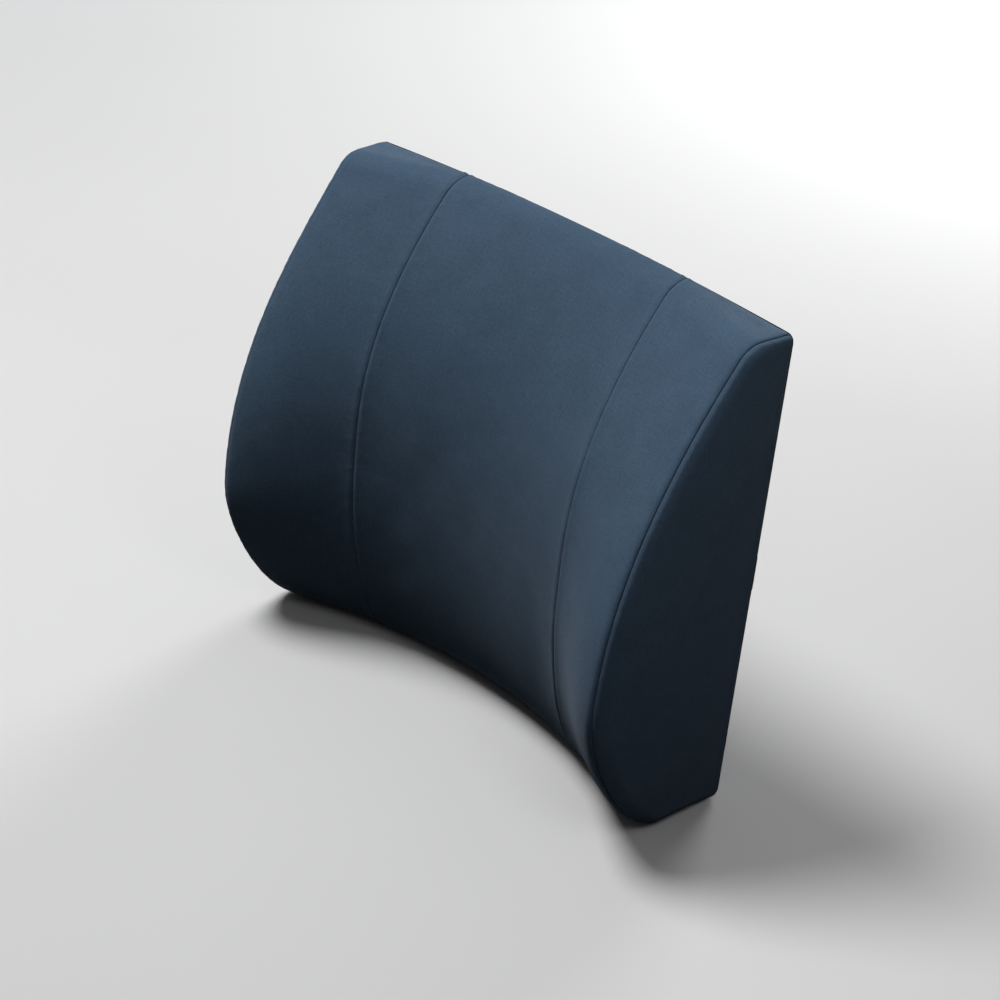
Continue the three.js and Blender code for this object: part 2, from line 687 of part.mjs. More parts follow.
function addStrap() {
  addPiece("strap_left", leftStrap(), "webbing");
  addPiece("strap_right", rightStrap(), "webbing");
  addPiece("strap_tail", strapTail(), "webbing");
  addPiece("buckle_socket", socketBody(), "plastic").position.z = STRAP_Z;
  addPiece("buckle_plug", plugBody(), "plastic").position.z = STRAP_Z;
  for (const [place, side] of [["upper", 1], ["lower", -1]]) {
    const arm = addPlate(`buckle_arm_${place}`, armShape(side), ARM.low, ARM.high, "plastic");
    arm.position.z = STRAP_Z;
  }
}

// A blank folded care label, caught in the left seam of the back.
function addLabel() {
  const { left, width, low, height, thickness } = LABEL;
  const outline = roundedRect(left, left + width, low, low + height, 1);
  addPlate("care_label", outline, GAP, GAP + thickness, "label");
}

addFoamAndCover();
addZip();
addSlider();
addStrap();
addLabel();
cushion.position.y = BACK_Y;

export default cushion;
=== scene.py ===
"""The looks of a contoured lumbar support cushion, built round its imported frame.

Lengths in this script are millimetres, measured as the part measures them: X across, Y back from
the cushion's flat back face, Z up from its foot. They become metres in the row frame when a mesh
is made.
"""

import json
import math

import bmesh
import bpy
import numpy as np
from mathutils import Matrix, Vector
from mathutils.kdtree import KDTree

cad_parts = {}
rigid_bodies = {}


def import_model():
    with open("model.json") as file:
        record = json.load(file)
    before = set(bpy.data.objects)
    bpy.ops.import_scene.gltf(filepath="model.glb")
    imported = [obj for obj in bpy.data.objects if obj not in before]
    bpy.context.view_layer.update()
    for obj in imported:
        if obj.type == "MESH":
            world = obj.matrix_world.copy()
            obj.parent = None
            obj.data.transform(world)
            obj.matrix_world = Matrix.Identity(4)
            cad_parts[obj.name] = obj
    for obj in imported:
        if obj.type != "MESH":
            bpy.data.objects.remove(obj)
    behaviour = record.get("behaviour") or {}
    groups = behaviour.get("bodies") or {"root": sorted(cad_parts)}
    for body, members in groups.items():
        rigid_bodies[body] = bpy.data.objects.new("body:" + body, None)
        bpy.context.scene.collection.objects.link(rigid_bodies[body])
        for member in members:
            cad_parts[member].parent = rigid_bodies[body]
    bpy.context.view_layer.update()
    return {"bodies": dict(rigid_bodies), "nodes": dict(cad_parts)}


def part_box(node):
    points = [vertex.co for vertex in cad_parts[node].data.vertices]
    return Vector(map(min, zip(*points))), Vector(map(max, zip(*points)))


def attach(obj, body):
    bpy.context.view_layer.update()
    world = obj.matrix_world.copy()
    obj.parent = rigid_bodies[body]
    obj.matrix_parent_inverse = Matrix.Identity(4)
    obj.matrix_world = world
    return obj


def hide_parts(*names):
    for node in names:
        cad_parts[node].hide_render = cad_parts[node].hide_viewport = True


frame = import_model()

# ----- dimensions shared with the frame -----
MM = 0.001
# half the width, the flat back face and the height
HALF, BACK_Y, HEIGHT = (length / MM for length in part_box("cover_back_upper")[1])
GAP = 0.3  # between neighbouring CAD nodes
SEAM_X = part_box("cover_front_centre")[1].x / MM + GAP / 2
COVER = 1.2  # thickness of the fabric
WALL_BACK = COVER + GAP  # the walls of the cover start this far in front of the back face


def node_box(name):
    """A CAD node's lowest and highest corners, in millimetres from the back face."""
    shift = Vector((0, BACK_Y, 0))
    return [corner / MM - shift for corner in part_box(name)]


# ----- the shape of the cushion -----
CENTRE_RECESS = 21.5
CROWN = 6
EDGE_R_BACK = 5
EDGE_R_FRONT = 11
EDGE_ROLL_DEPTH = 78
SIDE_SEAM_ANGLE = 0.375  # how far round the rolled edge the side seam runs
# the fore-and-aft sections at the sides and at the front seams; pulls bend the two front curves
EDGE_SECTION = dict(
    top=46, corner=22, slope=0.64, deepest=127, deepest_z=109, foot=54, pulls=(71, 92, 42, 26)
)
SEAM_SECTION = dict(
    top=26.5, corner=24, slope=0.69, deepest=83, deepest_z=137, foot=31, pulls=(107.5, 42, 53, 30)
)
SECTION_CURVES = 5
BOLSTER = 80  # about how far it is from a front seam to the side
CENTRE = np.array([0, -40, 165])  # a point well inside

# ----- sewing -----
SEAM_GAP = 0.06  # between the folded edges of two panels
FOLD_R = 1.7  # how the fabric turns down into a seam
FOLD_DEPTH = 1.05
EDGE_THICKNESS = 0.3  # the folded edge, pressed thin by the stitching
ALLOWANCE = {"place": 2.8, "width": 1.0, "height": 0.36}  # the folded cloth under the panel
FULL_THICKNESS = 2.5  # how far from its edge the fabric has its full thickness
PUCKER = {"height": 0.14, "waves": (6.1, 9.7, 15.3, 27.0), "start": 1.2, "reach": 7}
CROWN_LIMIT = 4.5  # how far the filling pushes a panel out
HELD_NEAR = (4, 8)  # the cover is held fast this near a seam, and is free from there on
FRAMES = 20  # of the simulation
FILLING = dict(
    quality=6, mass=0.2, tension_stiffness=14, compression_stiffness=14, shear_stiffness=6,
    bending_stiffness=1.5, use_pressure=True, uniform_pressure_force=4, vertex_group_mass="held",
)
ROW_STEP = 1.6
COLUMN_STEP = 2.4
TURN_IN = np.array([0, 0.2, 0.45, 0.75, 1.1, 1.55, 2.2, 3.0])  # rows where fabric turns into a seam


def bezier(points, share):
    """A cubic curve through four control points."""
    p0, p1, p2, p3 = (np.array(p, float) for p in points)
    s = share[:, None]
    r = 1 - s
    return r**3 * p0 + 3 * r * r * s * p1 + 3 * r * s * s * p2 + s**3 * p3


def section(spec, t):
    """Depth and height of a fore-and-aft section at each t, which counts its five curves: the top
    face, the turn, the upper front, the lower front and the foot."""
    leave, arrive, drop, tuck = spec["pulls"]
    radius, slope = spec["corner"], spec["slope"]
    corner = np.array([spec["top"] - radius, HEIGHT - radius])
    start = corner + radius * np.array([math.cos(slope), math.sin(slope)])
    fullest = np.array([spec["deepest"], spec["deepest_z"]])
    which = np.minimum(np.floor(t), SECTION_CURVES - 1).astype(int)
    share = t - which
    turn = math.pi / 2 + share * (slope - math.pi / 2)
    top = np.stack([WALL_BACK + share * (corner[0] - WALL_BACK), np.full_like(t, HEIGHT)], -1)
    arc = corner + radius * np.stack([np.cos(turn), np.sin(turn)], -1)
    down = start + leave * np.array([math.sin(slope), -math.cos(slope)])
    upper = bezier([start, down, fullest + [0, arrive], fullest], share)
    foot = [spec["foot"], 0]
    lower = bezier([fullest, fullest - [0, drop], [spec["foot"] + tuck, 0], foot], share)
    under = np.stack([spec["foot"] + share * (WALL_BACK - spec["foot"]), np.zeros_like(t)], -1)
    return np.stack([top, arc, upper, lower, under])[which, np.arange(len(t))]


def lengths(points):
    """Distance run along a line of points, from its first."""
    steps = np.linalg.norm(np.diff(points, axis=0), axis=-1)
    return np.concatenate([np.zeros_like(steps[:1]), np.cumsum(steps, axis=0)])


def spaced(length, step):
    """Places from 0 to length, close together at both ends, where the fabric turns into a seam."""
    count = round((length - 2 * TURN_IN[-1]) / step) + 1
    middle = np.linspace(TURN_IN[-1], length - TURN_IN[-1], count)
    return np.concatenate([TURN_IN[:-1], middle, length - TURN_IN[-2::-1]])


def section_rows(step):
    """Values of t whose places down the section are evenly spaced, and those places."""
    t = np.linspace(0, SECTION_CURVES, 4001)
    middle = (section(EDGE_SECTION, t) + section(SEAM_SECTION, t)) / 2
    run = lengths(middle)
    places = spaced(run[-1], step)
    return np.interp(places, run, t), places


def edge_radius(t):
    """The roll from the front panels to the side panels, small at the back edge."""
    share = np.minimum(1, section(EDGE_SECTION, t)[:, 0] / EDGE_ROLL_DEPTH)
    return EDGE_R_BACK + (EDGE_R_FRONT - EDGE_R_BACK) * share * (2 - share)


def crowned(x, height):
    """The top edge is highest in the middle. The drop fades out towards the foot."""
    return height - CROWN * (x / HALF) ** 2 * (height / HEIGHT) ** 2


def skin(flat, roll, t, unrolled=False):
    """Points of the cover. flat is the distance across, with its sign, before the edge rolls, and
    roll is the angle round the edge. Unrolled, the roll is laid out flat beside the side panel."""
    seam, edge = section(SEAM_SECTION, t), section(EDGE_SECTION, t)
    away = np.abs(flat)
    k = np.clip((away - SEAM_X) / (HALF - EDGE_R_FRONT - SEAM_X), 0, 1)
    eased = (0.5 * k + 0.5 * k * k * (3 - 2 * k))[..., None]
    base = seam * (1 - eased) + edge * eased
    hollow = CENTRE_RECESS * np.clip(1 - (away / SEAM_X) ** 2, 0, 1)
    base[..., 0] -= hollow * seam[:, 0] / SEAM_SECTION["deepest"]
    along = np.gradient(base, axis=1)
    along /= np.linalg.norm(along, axis=-1, keepdims=True)
    radius = edge_radius(t)
    inset = radius * (1 - np.cos(roll))
    if unrolled:
        inset = radius * (1 - (math.pi / 2 - roll))
    depth = base[..., 0] + inset * along[..., 1]
    height = base[..., 1] - inset * along[..., 0]
    x = flat + np.sign(flat) * radius * np.sin(roll)
    return np.stack([x, -np.maximum(WALL_BACK, depth), crowned(x, height)], -1)


def outward(points):
    """Unit normals of a grid of points, facing away from the middle of the cushion."""
    across, down = np.gradient(points, axis=0), np.gradient(points, axis=1)
    normal = np.cross(across, down)
    size = np.linalg.norm(normal, axis=-1, keepdims=True)
    normal /= np.maximum(size, 1e-9)
    if np.sum(normal * (points - CENTRE)) < 0:
        normal = -normal
    return normal


# ----- meshes -----
def linked(name, data):
    """A new object in the scene that holds a mesh, a light or a camera."""
    obj = bpy.data.objects.new(name, data)
    bpy.context.scene.collection.objects.link(obj)
    return obj


def write_mesh(built, mesh):
    """Puts an edited mesh into its data, its faces turned outwards."""
    bmesh.ops.recalc_face_normals(built, faces=built.faces)
    built.to_mesh(mesh)
    built.free()


def new_object(name, vertices, faces, weave=None):
    """A mesh object in the row frame from points in millimetres."""
    mesh = bpy.data.meshes.new(name)
    placed = (np.asarray(vertices, float) + [0, BACK_Y, 0]) * MM
    mesh.from_pydata(placed.tolist(), [], faces)
    if weave is not None:
        layer = mesh.attributes.new("weave", "FLOAT_VECTOR", "POINT")
        layer.data.foreach_set("vector", np.asarray(weave, np.float32).ravel())
    built = bmesh.new()
    built.from_mesh(mesh)
    bmesh.ops.remove_doubles(built, verts=built.verts, dist=2e-6)
    bmesh.ops.dissolve_degenerate(built, edges=built.edges, dist=1e-6)
    write_mesh(built, mesh)
    mesh.shade_smooth()
    return linked(name, mesh)


def quads(index):
    """The corners of each cell in a grid of numbered points."""
    return np.stack([index[:-1, :-1], index[1:, :-1], index[1:, 1:], index[:-1, 1:]], -1)


def tube_faces(rings, around):
    """Faces between rings of points that each close on themselves."""
    index = np.arange(rings * around).reshape(rings, around)
    return quads(np.concatenate([index, index[:, :1]], axis=1)).reshape(-1, 4)


def closed_tube(name, grid):
    """A closed body whose rings are the rows of a grid."""
    rings, around = grid.shape[:2]
    faces = tube_faces(rings, around).tolist()
    last = (rings - 1) * around
    faces += [list(range(around)), list(range(last, last + around))[::-1]]
    return new_object(name, grid.reshape(-1, 3), faces)


def shell(name, outer, inner, weave, present=None):
    """A closed thin piece between two grids of points. present leaves cells of the grid out."""
    below = outer.shape[0] * outer.shape[1]
    cells = quads(np.arange(below).reshape(outer.shape[:2]))
    top = (cells if present is None else cells[present]).reshape(-1, 4)
    edges = [edge for face in top.tolist() for edge in zip(face, face[1:] + face[:1])]
    known = set(edges)
    walls = [[q, p, p + below, q + below] for p, q in edges if (q, p) not in known]
    faces = np.concatenate([top, top[:, ::-1] + below, walls])
    used, faces = np.unique(faces, return_inverse=True)
    points = np.concatenate([outer.reshape(-1, 3), inner.reshape(-1, 3)])
    threads = np.concatenate([weave.reshape(-1, 3)] * 2)
    return new_object(name, points[used], faces.reshape(-1, 4).tolist(), threads[used])


def finish_piece(obj, material, body=None):
    """Gives a piece its material and body. A piece that stands for a CAD node is named after
    it with one more word, and rides on the body of that name, or else on the root."""
    obj.data.materials.clear()
    obj.data.materials.append(material)
    node = obj.name.rpartition("_")[0]
    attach(obj, body or (node if node in frame["bodies"] else "root"))
    if node in frame["nodes"]:
        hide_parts(node)


# ----- cloth -----
def cover_grid(step, sunk=0.0):
    """The whole skin as one grid, from the left edge of the cushion to the right. As a tube, its
    rings close across the flat back."""
    t, _ = section_rows(step)
    rim = HALF - edge_radius(t)
    middle = np.linspace(0, SEAM_X, round(SEAM_X / step))[:, None] + 0 * t
    reach = np.linspace(0, 1, round(BOLSTER / step))[1:, None]
    turn = np.linspace(0, math.pi / 2, 7)[1:]
    flats = np.concatenate([middle, SEAM_X + reach * (rim - SEAM_X), 0 * turn[:, None] + rim])
    rolls = np.concatenate([np.zeros(len(flats) - len(turn)), turn])
    right = skin(flats, rolls[:, None], t)
    right -= sunk * outward(right)
    right[..., 1] = np.minimum(right[..., 1], -WALL_BACK)
    left = right[:0:-1] * [-1, 1, 1]
    return np.concatenate([left, right])


def apply_modifier(obj, name):
    bpy.ops.object.select_all(action="DESELECT")
    bpy.context.view_layer.objects.active = obj
    obj.select_set(True)
    bpy.ops.object.modifier_apply(modifier=name)


def remeshed(obj, voxel):
    remesh = obj.modifiers.new("Remesh", "REMESH")
    remesh.mode = "VOXEL"
    remesh.voxel_size = voxel * MM
    apply_modifier(obj, "Remesh")
    return obj


def seam_points():
    """Points along the front seams, the side seams and the edge of the back."""
    step = 4.0
    t, _ = section_rows(step)
    radius = edge_radius(t)
    lines = []
    for side in (-1, 1):
        lines.append(skin(np.full((2, len(t)), side * SEAM_X), 0, t)[0])
        flat = np.stack([side * (HALF - radius)] * 2)
        lines.append(skin(flat, SIDE_SEAM_ANGLE, t)[0])
        heights = crowned(HALF, np.arange(0, HEIGHT, step))
        lines.append(np.stack([np.full_like(heights, side * HALF), 0 * heights, heights], -1))
    for z in (0, HEIGHT):
        across = np.arange(-HALF, HALF, step)
        lines.append(np.stack([across, 0 * across, crowned(across, z + 0 * across)], -1))
    return np.concatenate(lines)


def tree_of(points):
    tree = KDTree(len(points))
    for i, p in enumerate(points):
        tree.insert(p, i)
    tree.balance()
    return tree


def swell():
    """Fills the cover with pressure, held at its seams and flat back, and returns where its
    points started and how far they moved."""
    body = remeshed(closed_tube("swelling", cover_grid(6, 1.5)), 5)
    rest = np.array([v.co for v in body.data.vertices]) / MM - [0, BACK_Y, 0]
    seams = tree_of(seam_points())
    held = body.vertex_groups.new(name="held")
    fast, free = HELD_NEAR
    for i, p in enumerate(rest):
        distance = seams.find(p)[2]
        on_back = p[1] > -5
        grip = 1 if on_back else float(np.clip((free - distance) / (free - fast), 0, 1))
        held.add([i], grip, "REPLACE")
    cloth = body.modifiers.new("Cloth", "CLOTH")
    for key, value in FILLING.items():
        setattr(cloth.settings, key, value)
    cloth.settings.effector_weights.gravity = 0
    cloth.collision_settings.use_collision = False
    scene = bpy.context.scene
    for number in range(1, FRAMES + 1):
        scene.frame_set(number)
    shaped = body.evaluated_get(bpy.context.evaluated_depsgraph_get()).to_mesh()
    moved = np.array([v.co for v in shaped.vertices]) / MM - [0, BACK_Y, 0] - rest
    scene.frame_set(1)
    bpy.data.objects.remove(body)
    size = np.linalg.norm(moved, axis=1, keepdims=True)
    capped = CROWN_LIMIT * np.tanh(size / CROWN_LIMIT)
    return rest, moved * capped / np.maximum(size, 1e-9)


def smoothed(field, reach):
    """The field averaged over its neighbours in the grid, twice."""
    for axis in (0, 1, 0, 1):
        width = [(0, 0)] * field.ndim
        width[axis] = (reach, reach)
        padded = np.pad(field, width, mode="edge")
        count = field.shape[axis]
        shifted = [np.take(padded, range(k, k + count), axis) for k in range(2 * reach + 1)]
        field = sum(shifted) / (2 * reach + 1)
    return field


def crown(points, normal):
    """How far the filling pushes each point of a grid out along its normal."""
    if SWOLLEN is None:
        return np.zeros(points.shape[:2])
    tree, moved = SWOLLEN
    reach, neighbours = 6, 8
    flat = points.reshape(-1, 3)
    push = np.empty(len(flat))
    along = normal.reshape(-1, 3)
    for i, p in enumerate(flat):
        near = tree.find_n(p, neighbours)
        weights = np.array([math.exp(-((gap / reach) ** 2)) for _, _, gap in near]) + 1e-9
        which = [k for _, k, _ in near]
        push[i] = (weights @ moved[which] / weights.sum()) @ along[i]
    return smoothed(push.reshape(points.shape[:2]), 3)


# ----- seams -----
def fold(away):
    """How far the fabric has turned down at a distance from its seam."""
    left = np.clip(1 - away / FOLD_R, 0, 1)
    return FOLD_DEPTH * (1 - np.sqrt(1 - left**2))


def allowance(away, scale=1.0):
    """The ridge that the folded cloth behind a seam raises beside it."""
    spread = (away - ALLOWANCE["place"]) / ALLOWANCE["width"]
    return scale * ALLOWANCE["height"] * np.exp(-(spread**2))


def puckers(seed, along, away):
    """Small waves gathered by the stitching, dying out away from the seam."""
    rng = np.random.default_rng(seed)
    wave = np.zeros(np.broadcast(along, away).shape)
    for wavelength in PUCKER["waves"]:
        phase, slant = rng.uniform(0, math.tau), rng.uniform(-0.6, 0.6)
        wave += np.sin(math.tau * (along + slant * away) / wavelength + phase)
    fade = np.exp(-away / PUCKER["reach"]) * (1 - np.exp(-away / PUCKER["start"]))
    return PUCKER["height"] * wave / 2 * fade


def sewn(points, normal, seams, push):
    """The outer and inner faces of a panel. seams lists, for each seam at its edge, a seed, the
    distance along it, the distance from it and how strongly its allowance shows."""
    height = np.array(push)
    drop = np.zeros_like(height)
    for seed, along, away, ridge in seams:
        height += allowance(away, ridge) + puckers(seed, along, away)
        drop = np.maximum(drop, fold(away))
    nearest = np.min([away for _, _, away, _ in seams], axis=0)
    full = np.clip(nearest / FULL_THICKNESS, 0, 1)
    thickness = EDGE_THICKNESS + (COVER - EDGE_THICKNESS) * full
    outer = points + normal * (height - drop)[..., None]
    inner = outer - normal * thickness[..., None]
    return outer, inner


def weave_of(u, v, like):
    """Thread coordinates in millimetres for each point of a grid."""
    shape = like.shape[:2]
    return np.stack([np.broadcast_to(u, shape), np.broadcast_to(v, shape), np.zeros(shape)], -1)


def end_seams(seed, across, places):
    """The seams where a panel that runs over the front meets the back, at both its ends."""
    run = np.broadcast_to(places, across.shape)
    return [(seed, across, run, 0.4), (seed + 1, across, places[-1] - run, 0.4)]


def front_panel(name, seed, flat, roll, across, far_ridge):
    """A panel between two long seams, which runs from the back over the front to the back."""
    t, places = section_rows(ROW_STEP)
    points = skin(flat, roll, t)
    normal = outward(points)
    run = lengths(points)
    seams = [(seed, places, run, 1.0), (seed + 1, places, run[-1] - run, far_ridge)]
    seams += end_seams(seed + 2, flat, places)
    outer, inner = sewn(points, normal, seams, crown(points, normal))
    return shell(name, outer, inner, weave_of(across[:, None], places, points))


def front_centre():
    t, _ = section_rows(ROW_STEP)
    u = spaced(2 * SEAM_X - SEAM_GAP, COLUMN_STEP)
    x = u - u[-1] / 2
    flat = np.broadcast_to(x[:, None], (len(x), len(t)))
    return front_panel("cover_front_centre_cloth", 1, flat, 0, x, 1.0)


def bolster(side, name, seed):
    t, _ = section_rows(ROW_STEP)
    flat_length = HALF - EDGE_R_FRONT - SEAM_X
    roll_length = EDGE_R_FRONT * SIDE_SEAM_ANGLE - SEAM_GAP / 2
    u = spaced(flat_length + roll_length, COLUMN_STEP)
    reach = np.minimum(u / flat_length, 1)
    roll = np.maximum(u - flat_length, 0) / EDGE_R_FRONT
    start = SEAM_X + SEAM_GAP / 2
    flat = side * (start + reach[:, None] * (HALF - edge_radius(t) - start))
    return front_panel(name, seed, flat, roll[:, None], side * (SEAM_X + u), 0.5)


def side_panel(side, name, seed):
    t, places = section_rows(ROW_STEP)
    radius = edge_radius(t)
    flat = side * (HALF - radius)
    band = EDGE_R_FRONT * (math.pi / 2 - SIDE_SEAM_ANGLE)
    u = np.concatenate([spaced(band, ROW_STEP)[:-6], [band]])
    first = SIDE_SEAM_ANGLE + SEAM_GAP / 2 / EDGE_R_FRONT
    roll = (first + u / band * (math.pi / 2 - first))[:, None]
    flats = np.broadcast_to(flat, (len(u), len(t)))
    rolled = skin(flats, roll, t)
    laid_out = skin(flats, roll, t, unrolled=True)
    rim = rolled[-1]
    share = places / places[-1]
    back = np.stack([rim[:, 0], np.full_like(share, -WALL_BACK), 0 * share], -1)
    back[:, 2] = rim[0, 2] + share * (rim[-1, 2] - rim[0, 2])
    count, crowding = 56, 1.6  # columns of the flat face lie closer together near the back
    columns = 1 - (1 - np.linspace(0, 1, count)[1:, None, None]) ** crowding
    face = rim + columns * (back - rim)
    points = np.concatenate([rolled, face])
    normal = np.concatenate([outward(rolled), np.broadcast_to([float(side), 0, 0], face.shape)])
    from_seam = lengths(points)
    ends = np.broadcast_to(np.minimum(places, places[-1] - places), rolled.shape[:2])
    from_back = np.concatenate([ends, -face[..., 1] - WALL_BACK])
    seams = [(seed, places, from_seam, 1.3), (seed + 1, points[..., 2], from_back, 0.4)]
    outer, inner = sewn(points, normal, seams, crown(points, normal))
    laid = np.concatenate([laid_out, face])
    return shell(name, outer, inner, weave_of(laid[..., 1], laid[..., 2], laid))


# ----- the back -----
ZIP_Z = node_box("zip_tape_upper")[0].z - GAP / 2
OPENING = 150  # half the length of the opening over the zip
RISE = 6  # half its height
BACK_INSET = 0.4  # the back panels stop this far inside the sides
HEM = {"place": 3.0, "width": 0.5, "dent": 0.16}  # the stitched groove round the opening


def inside_distance(x, z, half, low, high, radius):
    """Distance from the edge of a rounded rectangle, measured inwards."""
    qx = np.abs(x) - (half - radius)
    qz = np.abs(z - (low + high) / 2) - ((high - low) / 2 - radius)
    outside = np.hypot(np.maximum(qx, 0), np.maximum(qz, 0))
    return radius - outside - np.minimum(np.maximum(qx, qz), 0)


def row_half(z, half, low, high, radius):
    """Half the width of a rounded rectangle at each height."""
    to_end = np.clip(radius - np.minimum(z - low, high - z), 0, radius)
    return half - radius + np.sqrt(radius**2 - to_end**2)


def back_panel(name, sign, seed):
    """The back panel above (1) or below (-1) the zip, cut away over the zip."""
    low, high = BACK_INSET, HEIGHT - BACK_INSET
    half = HALF - BACK_INSET
    outline = (half, low, high, EDGE_R_BACK)
    meeting = ZIP_Z + sign * SEAM_GAP / 2
    far = high if sign > 0 else low
    tab = np.append(TURN_IN, [4.0, 5.0])
    beyond = abs(far - meeting) - RISE
    rise = RISE - SEAM_GAP / 2 + spaced(beyond + SEAM_GAP / 2, COLUMN_STEP)
    z = meeting + sign * np.concatenate([tab, rise])
    outer_columns = spaced(half - OPENING, COLUMN_STEP)
    middle = spaced(2 * OPENING, COLUMN_STEP)[1:-1] - OPENING
    right = OPENING + outer_columns
    columns = np.concatenate([-right[::-1], middle, right])
    inner_part = np.minimum(np.abs(columns), OPENING)[:, None]
    flank = np.maximum(np.abs(columns) - OPENING, 0)[:, None]
    squeeze = (row_half(z, *outline) - OPENING) / (half - OPENING)
    x = np.sign(columns)[:, None] * (inner_part + flank * squeeze)
    flat_z = np.broadcast_to(z, x.shape)
    points = np.stack([x, np.zeros_like(x), crowned(x, flat_z)], -1)
    normal = np.broadcast_to([0.0, 1.0, 0.0], points.shape)
    rim = inside_distance(x, flat_z, *outline)
    over = np.maximum(np.abs(flat_z - ZIP_Z) - RISE, 0)
    opening = np.hypot(np.maximum(np.abs(x) - OPENING, 0), over)
    meet = np.where(np.abs(x) >= OPENING, np.abs(flat_z - meeting), 99)
    groove = -HEM["dent"] * np.exp(-(((opening - HEM["place"]) / HEM["width"]) ** 2))
    seams = [
        (seed, x + flat_z, rim, 0.7),
        (seed + 1, x, opening, 0.0),
        (seed + 2, x, meet, 0.4),
    ]
    outer, inner = sewn(points, normal, seams, groove)
    cut_u = (np.abs(columns[:-1] + columns[1:]) / 2 < OPENING)[:, None]
    cut_v = (np.arange(len(z) - 1) < len(tab))[None]
    return shell(name, outer, inner, weave_of(x, flat_z, points), ~(cut_u & cut_v))


# ----- tapes and webbing -----
STRAP_LOW, STRAP_HIGH = node_box("strap_right")
STRAP_Z = (STRAP_LOW.z + STRAP_HIGH.z) / 2
WEBBING_WIDTH = STRAP_HIGH.z - STRAP_LOW.z
WEBBING = 1.4
LOW_LAYER = STRAP_LOW.y + WEBBING / 2  # the middle of the webbing that lies on the cushion
NEXT_LAYER = LOW_LAYER + WEBBING + GAP
LOOP_R = 2.5  # of the strap round the buckle's bars
SOCKET_TURN = -23.7
PLUG_TURN = 22
PLUG_END = node_box("buckle_plug")[1].x
DOUBLED = 50  # how far the left strap runs back over itself
TAIL = 70  # how far the tail runs beyond the plug
TAIL_HEM = 12
SEAM_DIP = [(172, LOW_LAYER), (175.5, LOW_LAYER), (176.4, -0.4), (177.6, -1.0)]


def trace(start, *moves):
    """Points along a path of straight lines, arcs and curves in X and Y."""
    points = np.array([start], float)
    for kind, *spec in moves:
        last = points[-1]
        if kind == "line":
            count = max(2, round(np.linalg.norm(np.subtract(spec[0], last)) / 2))
            new = np.linspace(last, spec[0], count + 1)[1:]
        elif kind == "arc":
            centre, begin, end = spec
            turn = np.linspace(begin, end, 15)[1:, None]
            new = centre + LOOP_R * np.concatenate([np.cos(turn), np.sin(turn)], 1)
        else:
            new = bezier([last, *spec], np.linspace(0, 1, 17))[1:]
        points = np.concatenate([points, new])
    return points


def ribbon(name, path, z, width, thickness, hem=0):
    """Woven tape along a path, its width along Z, with rounded edges. A hem doubles its end."""
    run = lengths(path)
    direction = np.gradient(path, axis=0)
    direction /= np.linalg.norm(direction, axis=1, keepdims=True)
    normal = np.stack([-direction[:, 1], direction[:, 0]], 1)
    across = np.sin(np.linspace(-math.pi / 2, math.pi / 2, 27))
    selvedge = np.sqrt(np.clip(1 - np.abs(across) ** 12, 0, 1))
    from_end = np.minimum(run, run[-1] - run)
    blunt = np.sqrt(np.clip(1 - np.clip(1 - from_end / (thickness / 2), 0, 1) ** 2, 0.02, 1))
    half = thickness / 2 * blunt[:, None] * selvedge
    folded = np.clip((hem - (run[-1] - run)) / 1.5, 0, 1)[:, None] * selvedge if hem else 0
    grids = []
    for lift in (half + 0.9 * thickness * folded, -half):
        x = path[:, :1] + normal[:, :1] * lift
        y = path[:, 1:] + normal[:, 1:] * lift
        grids.append(np.stack([x, y, np.broadcast_to(z + across * width / 2, x.shape)], -1))
    weave = weave_of(run[:, None], across * width / 2, grids[0])
    return shell(name, grids[0], grids[1], weave)


def strap_paths():
    """The three straps, each as the path of its middle in X and Y."""
    out_of_seam = [(-x, y) for x, y in reversed(SEAM_DIP)]
    bar = np.array([SOCKET_TURN, LOW_LAYER + LOOP_R])
    over = bar[1] + LOOP_R
    back, down, level = SOCKET_TURN - 5, SOCKET_TURN - 11, SOCKET_TURN - 18
    left = trace(
        out_of_seam[0],
        ("curve", *out_of_seam[1:]),
        ("line", (SOCKET_TURN, LOW_LAYER)),
        ("arc", bar, -math.pi / 2, math.pi / 2),
        ("line", (back, over)),
        ("curve", (down, over), (down, NEXT_LAYER), (level, NEXT_LAYER)),
        ("line", (SOCKET_TURN - DOUBLED, NEXT_LAYER)),
    )
    right = trace((PLUG_TURN + 4, LOW_LAYER), ("line", SEAM_DIP[0]), ("curve", *SEAM_DIP[1:]))
    under = NEXT_LAYER + 0.1
    top = under + 2 * LOOP_R
    tail = trace(
        (PLUG_TURN + 8, under),
        ("line", (PLUG_TURN, under)),
        ("arc", np.array([PLUG_TURN, under + LOOP_R]), -math.pi / 2, -1.5 * math.pi),
        ("line", (PLUG_END, top)),
        ("curve", (PLUG_END + 6, top), (PLUG_END + 5, NEXT_LAYER), (PLUG_END + 12, NEXT_LAYER)),
        ("line", (PLUG_END + TAIL, NEXT_LAYER)),
    )
    return left, right, tail


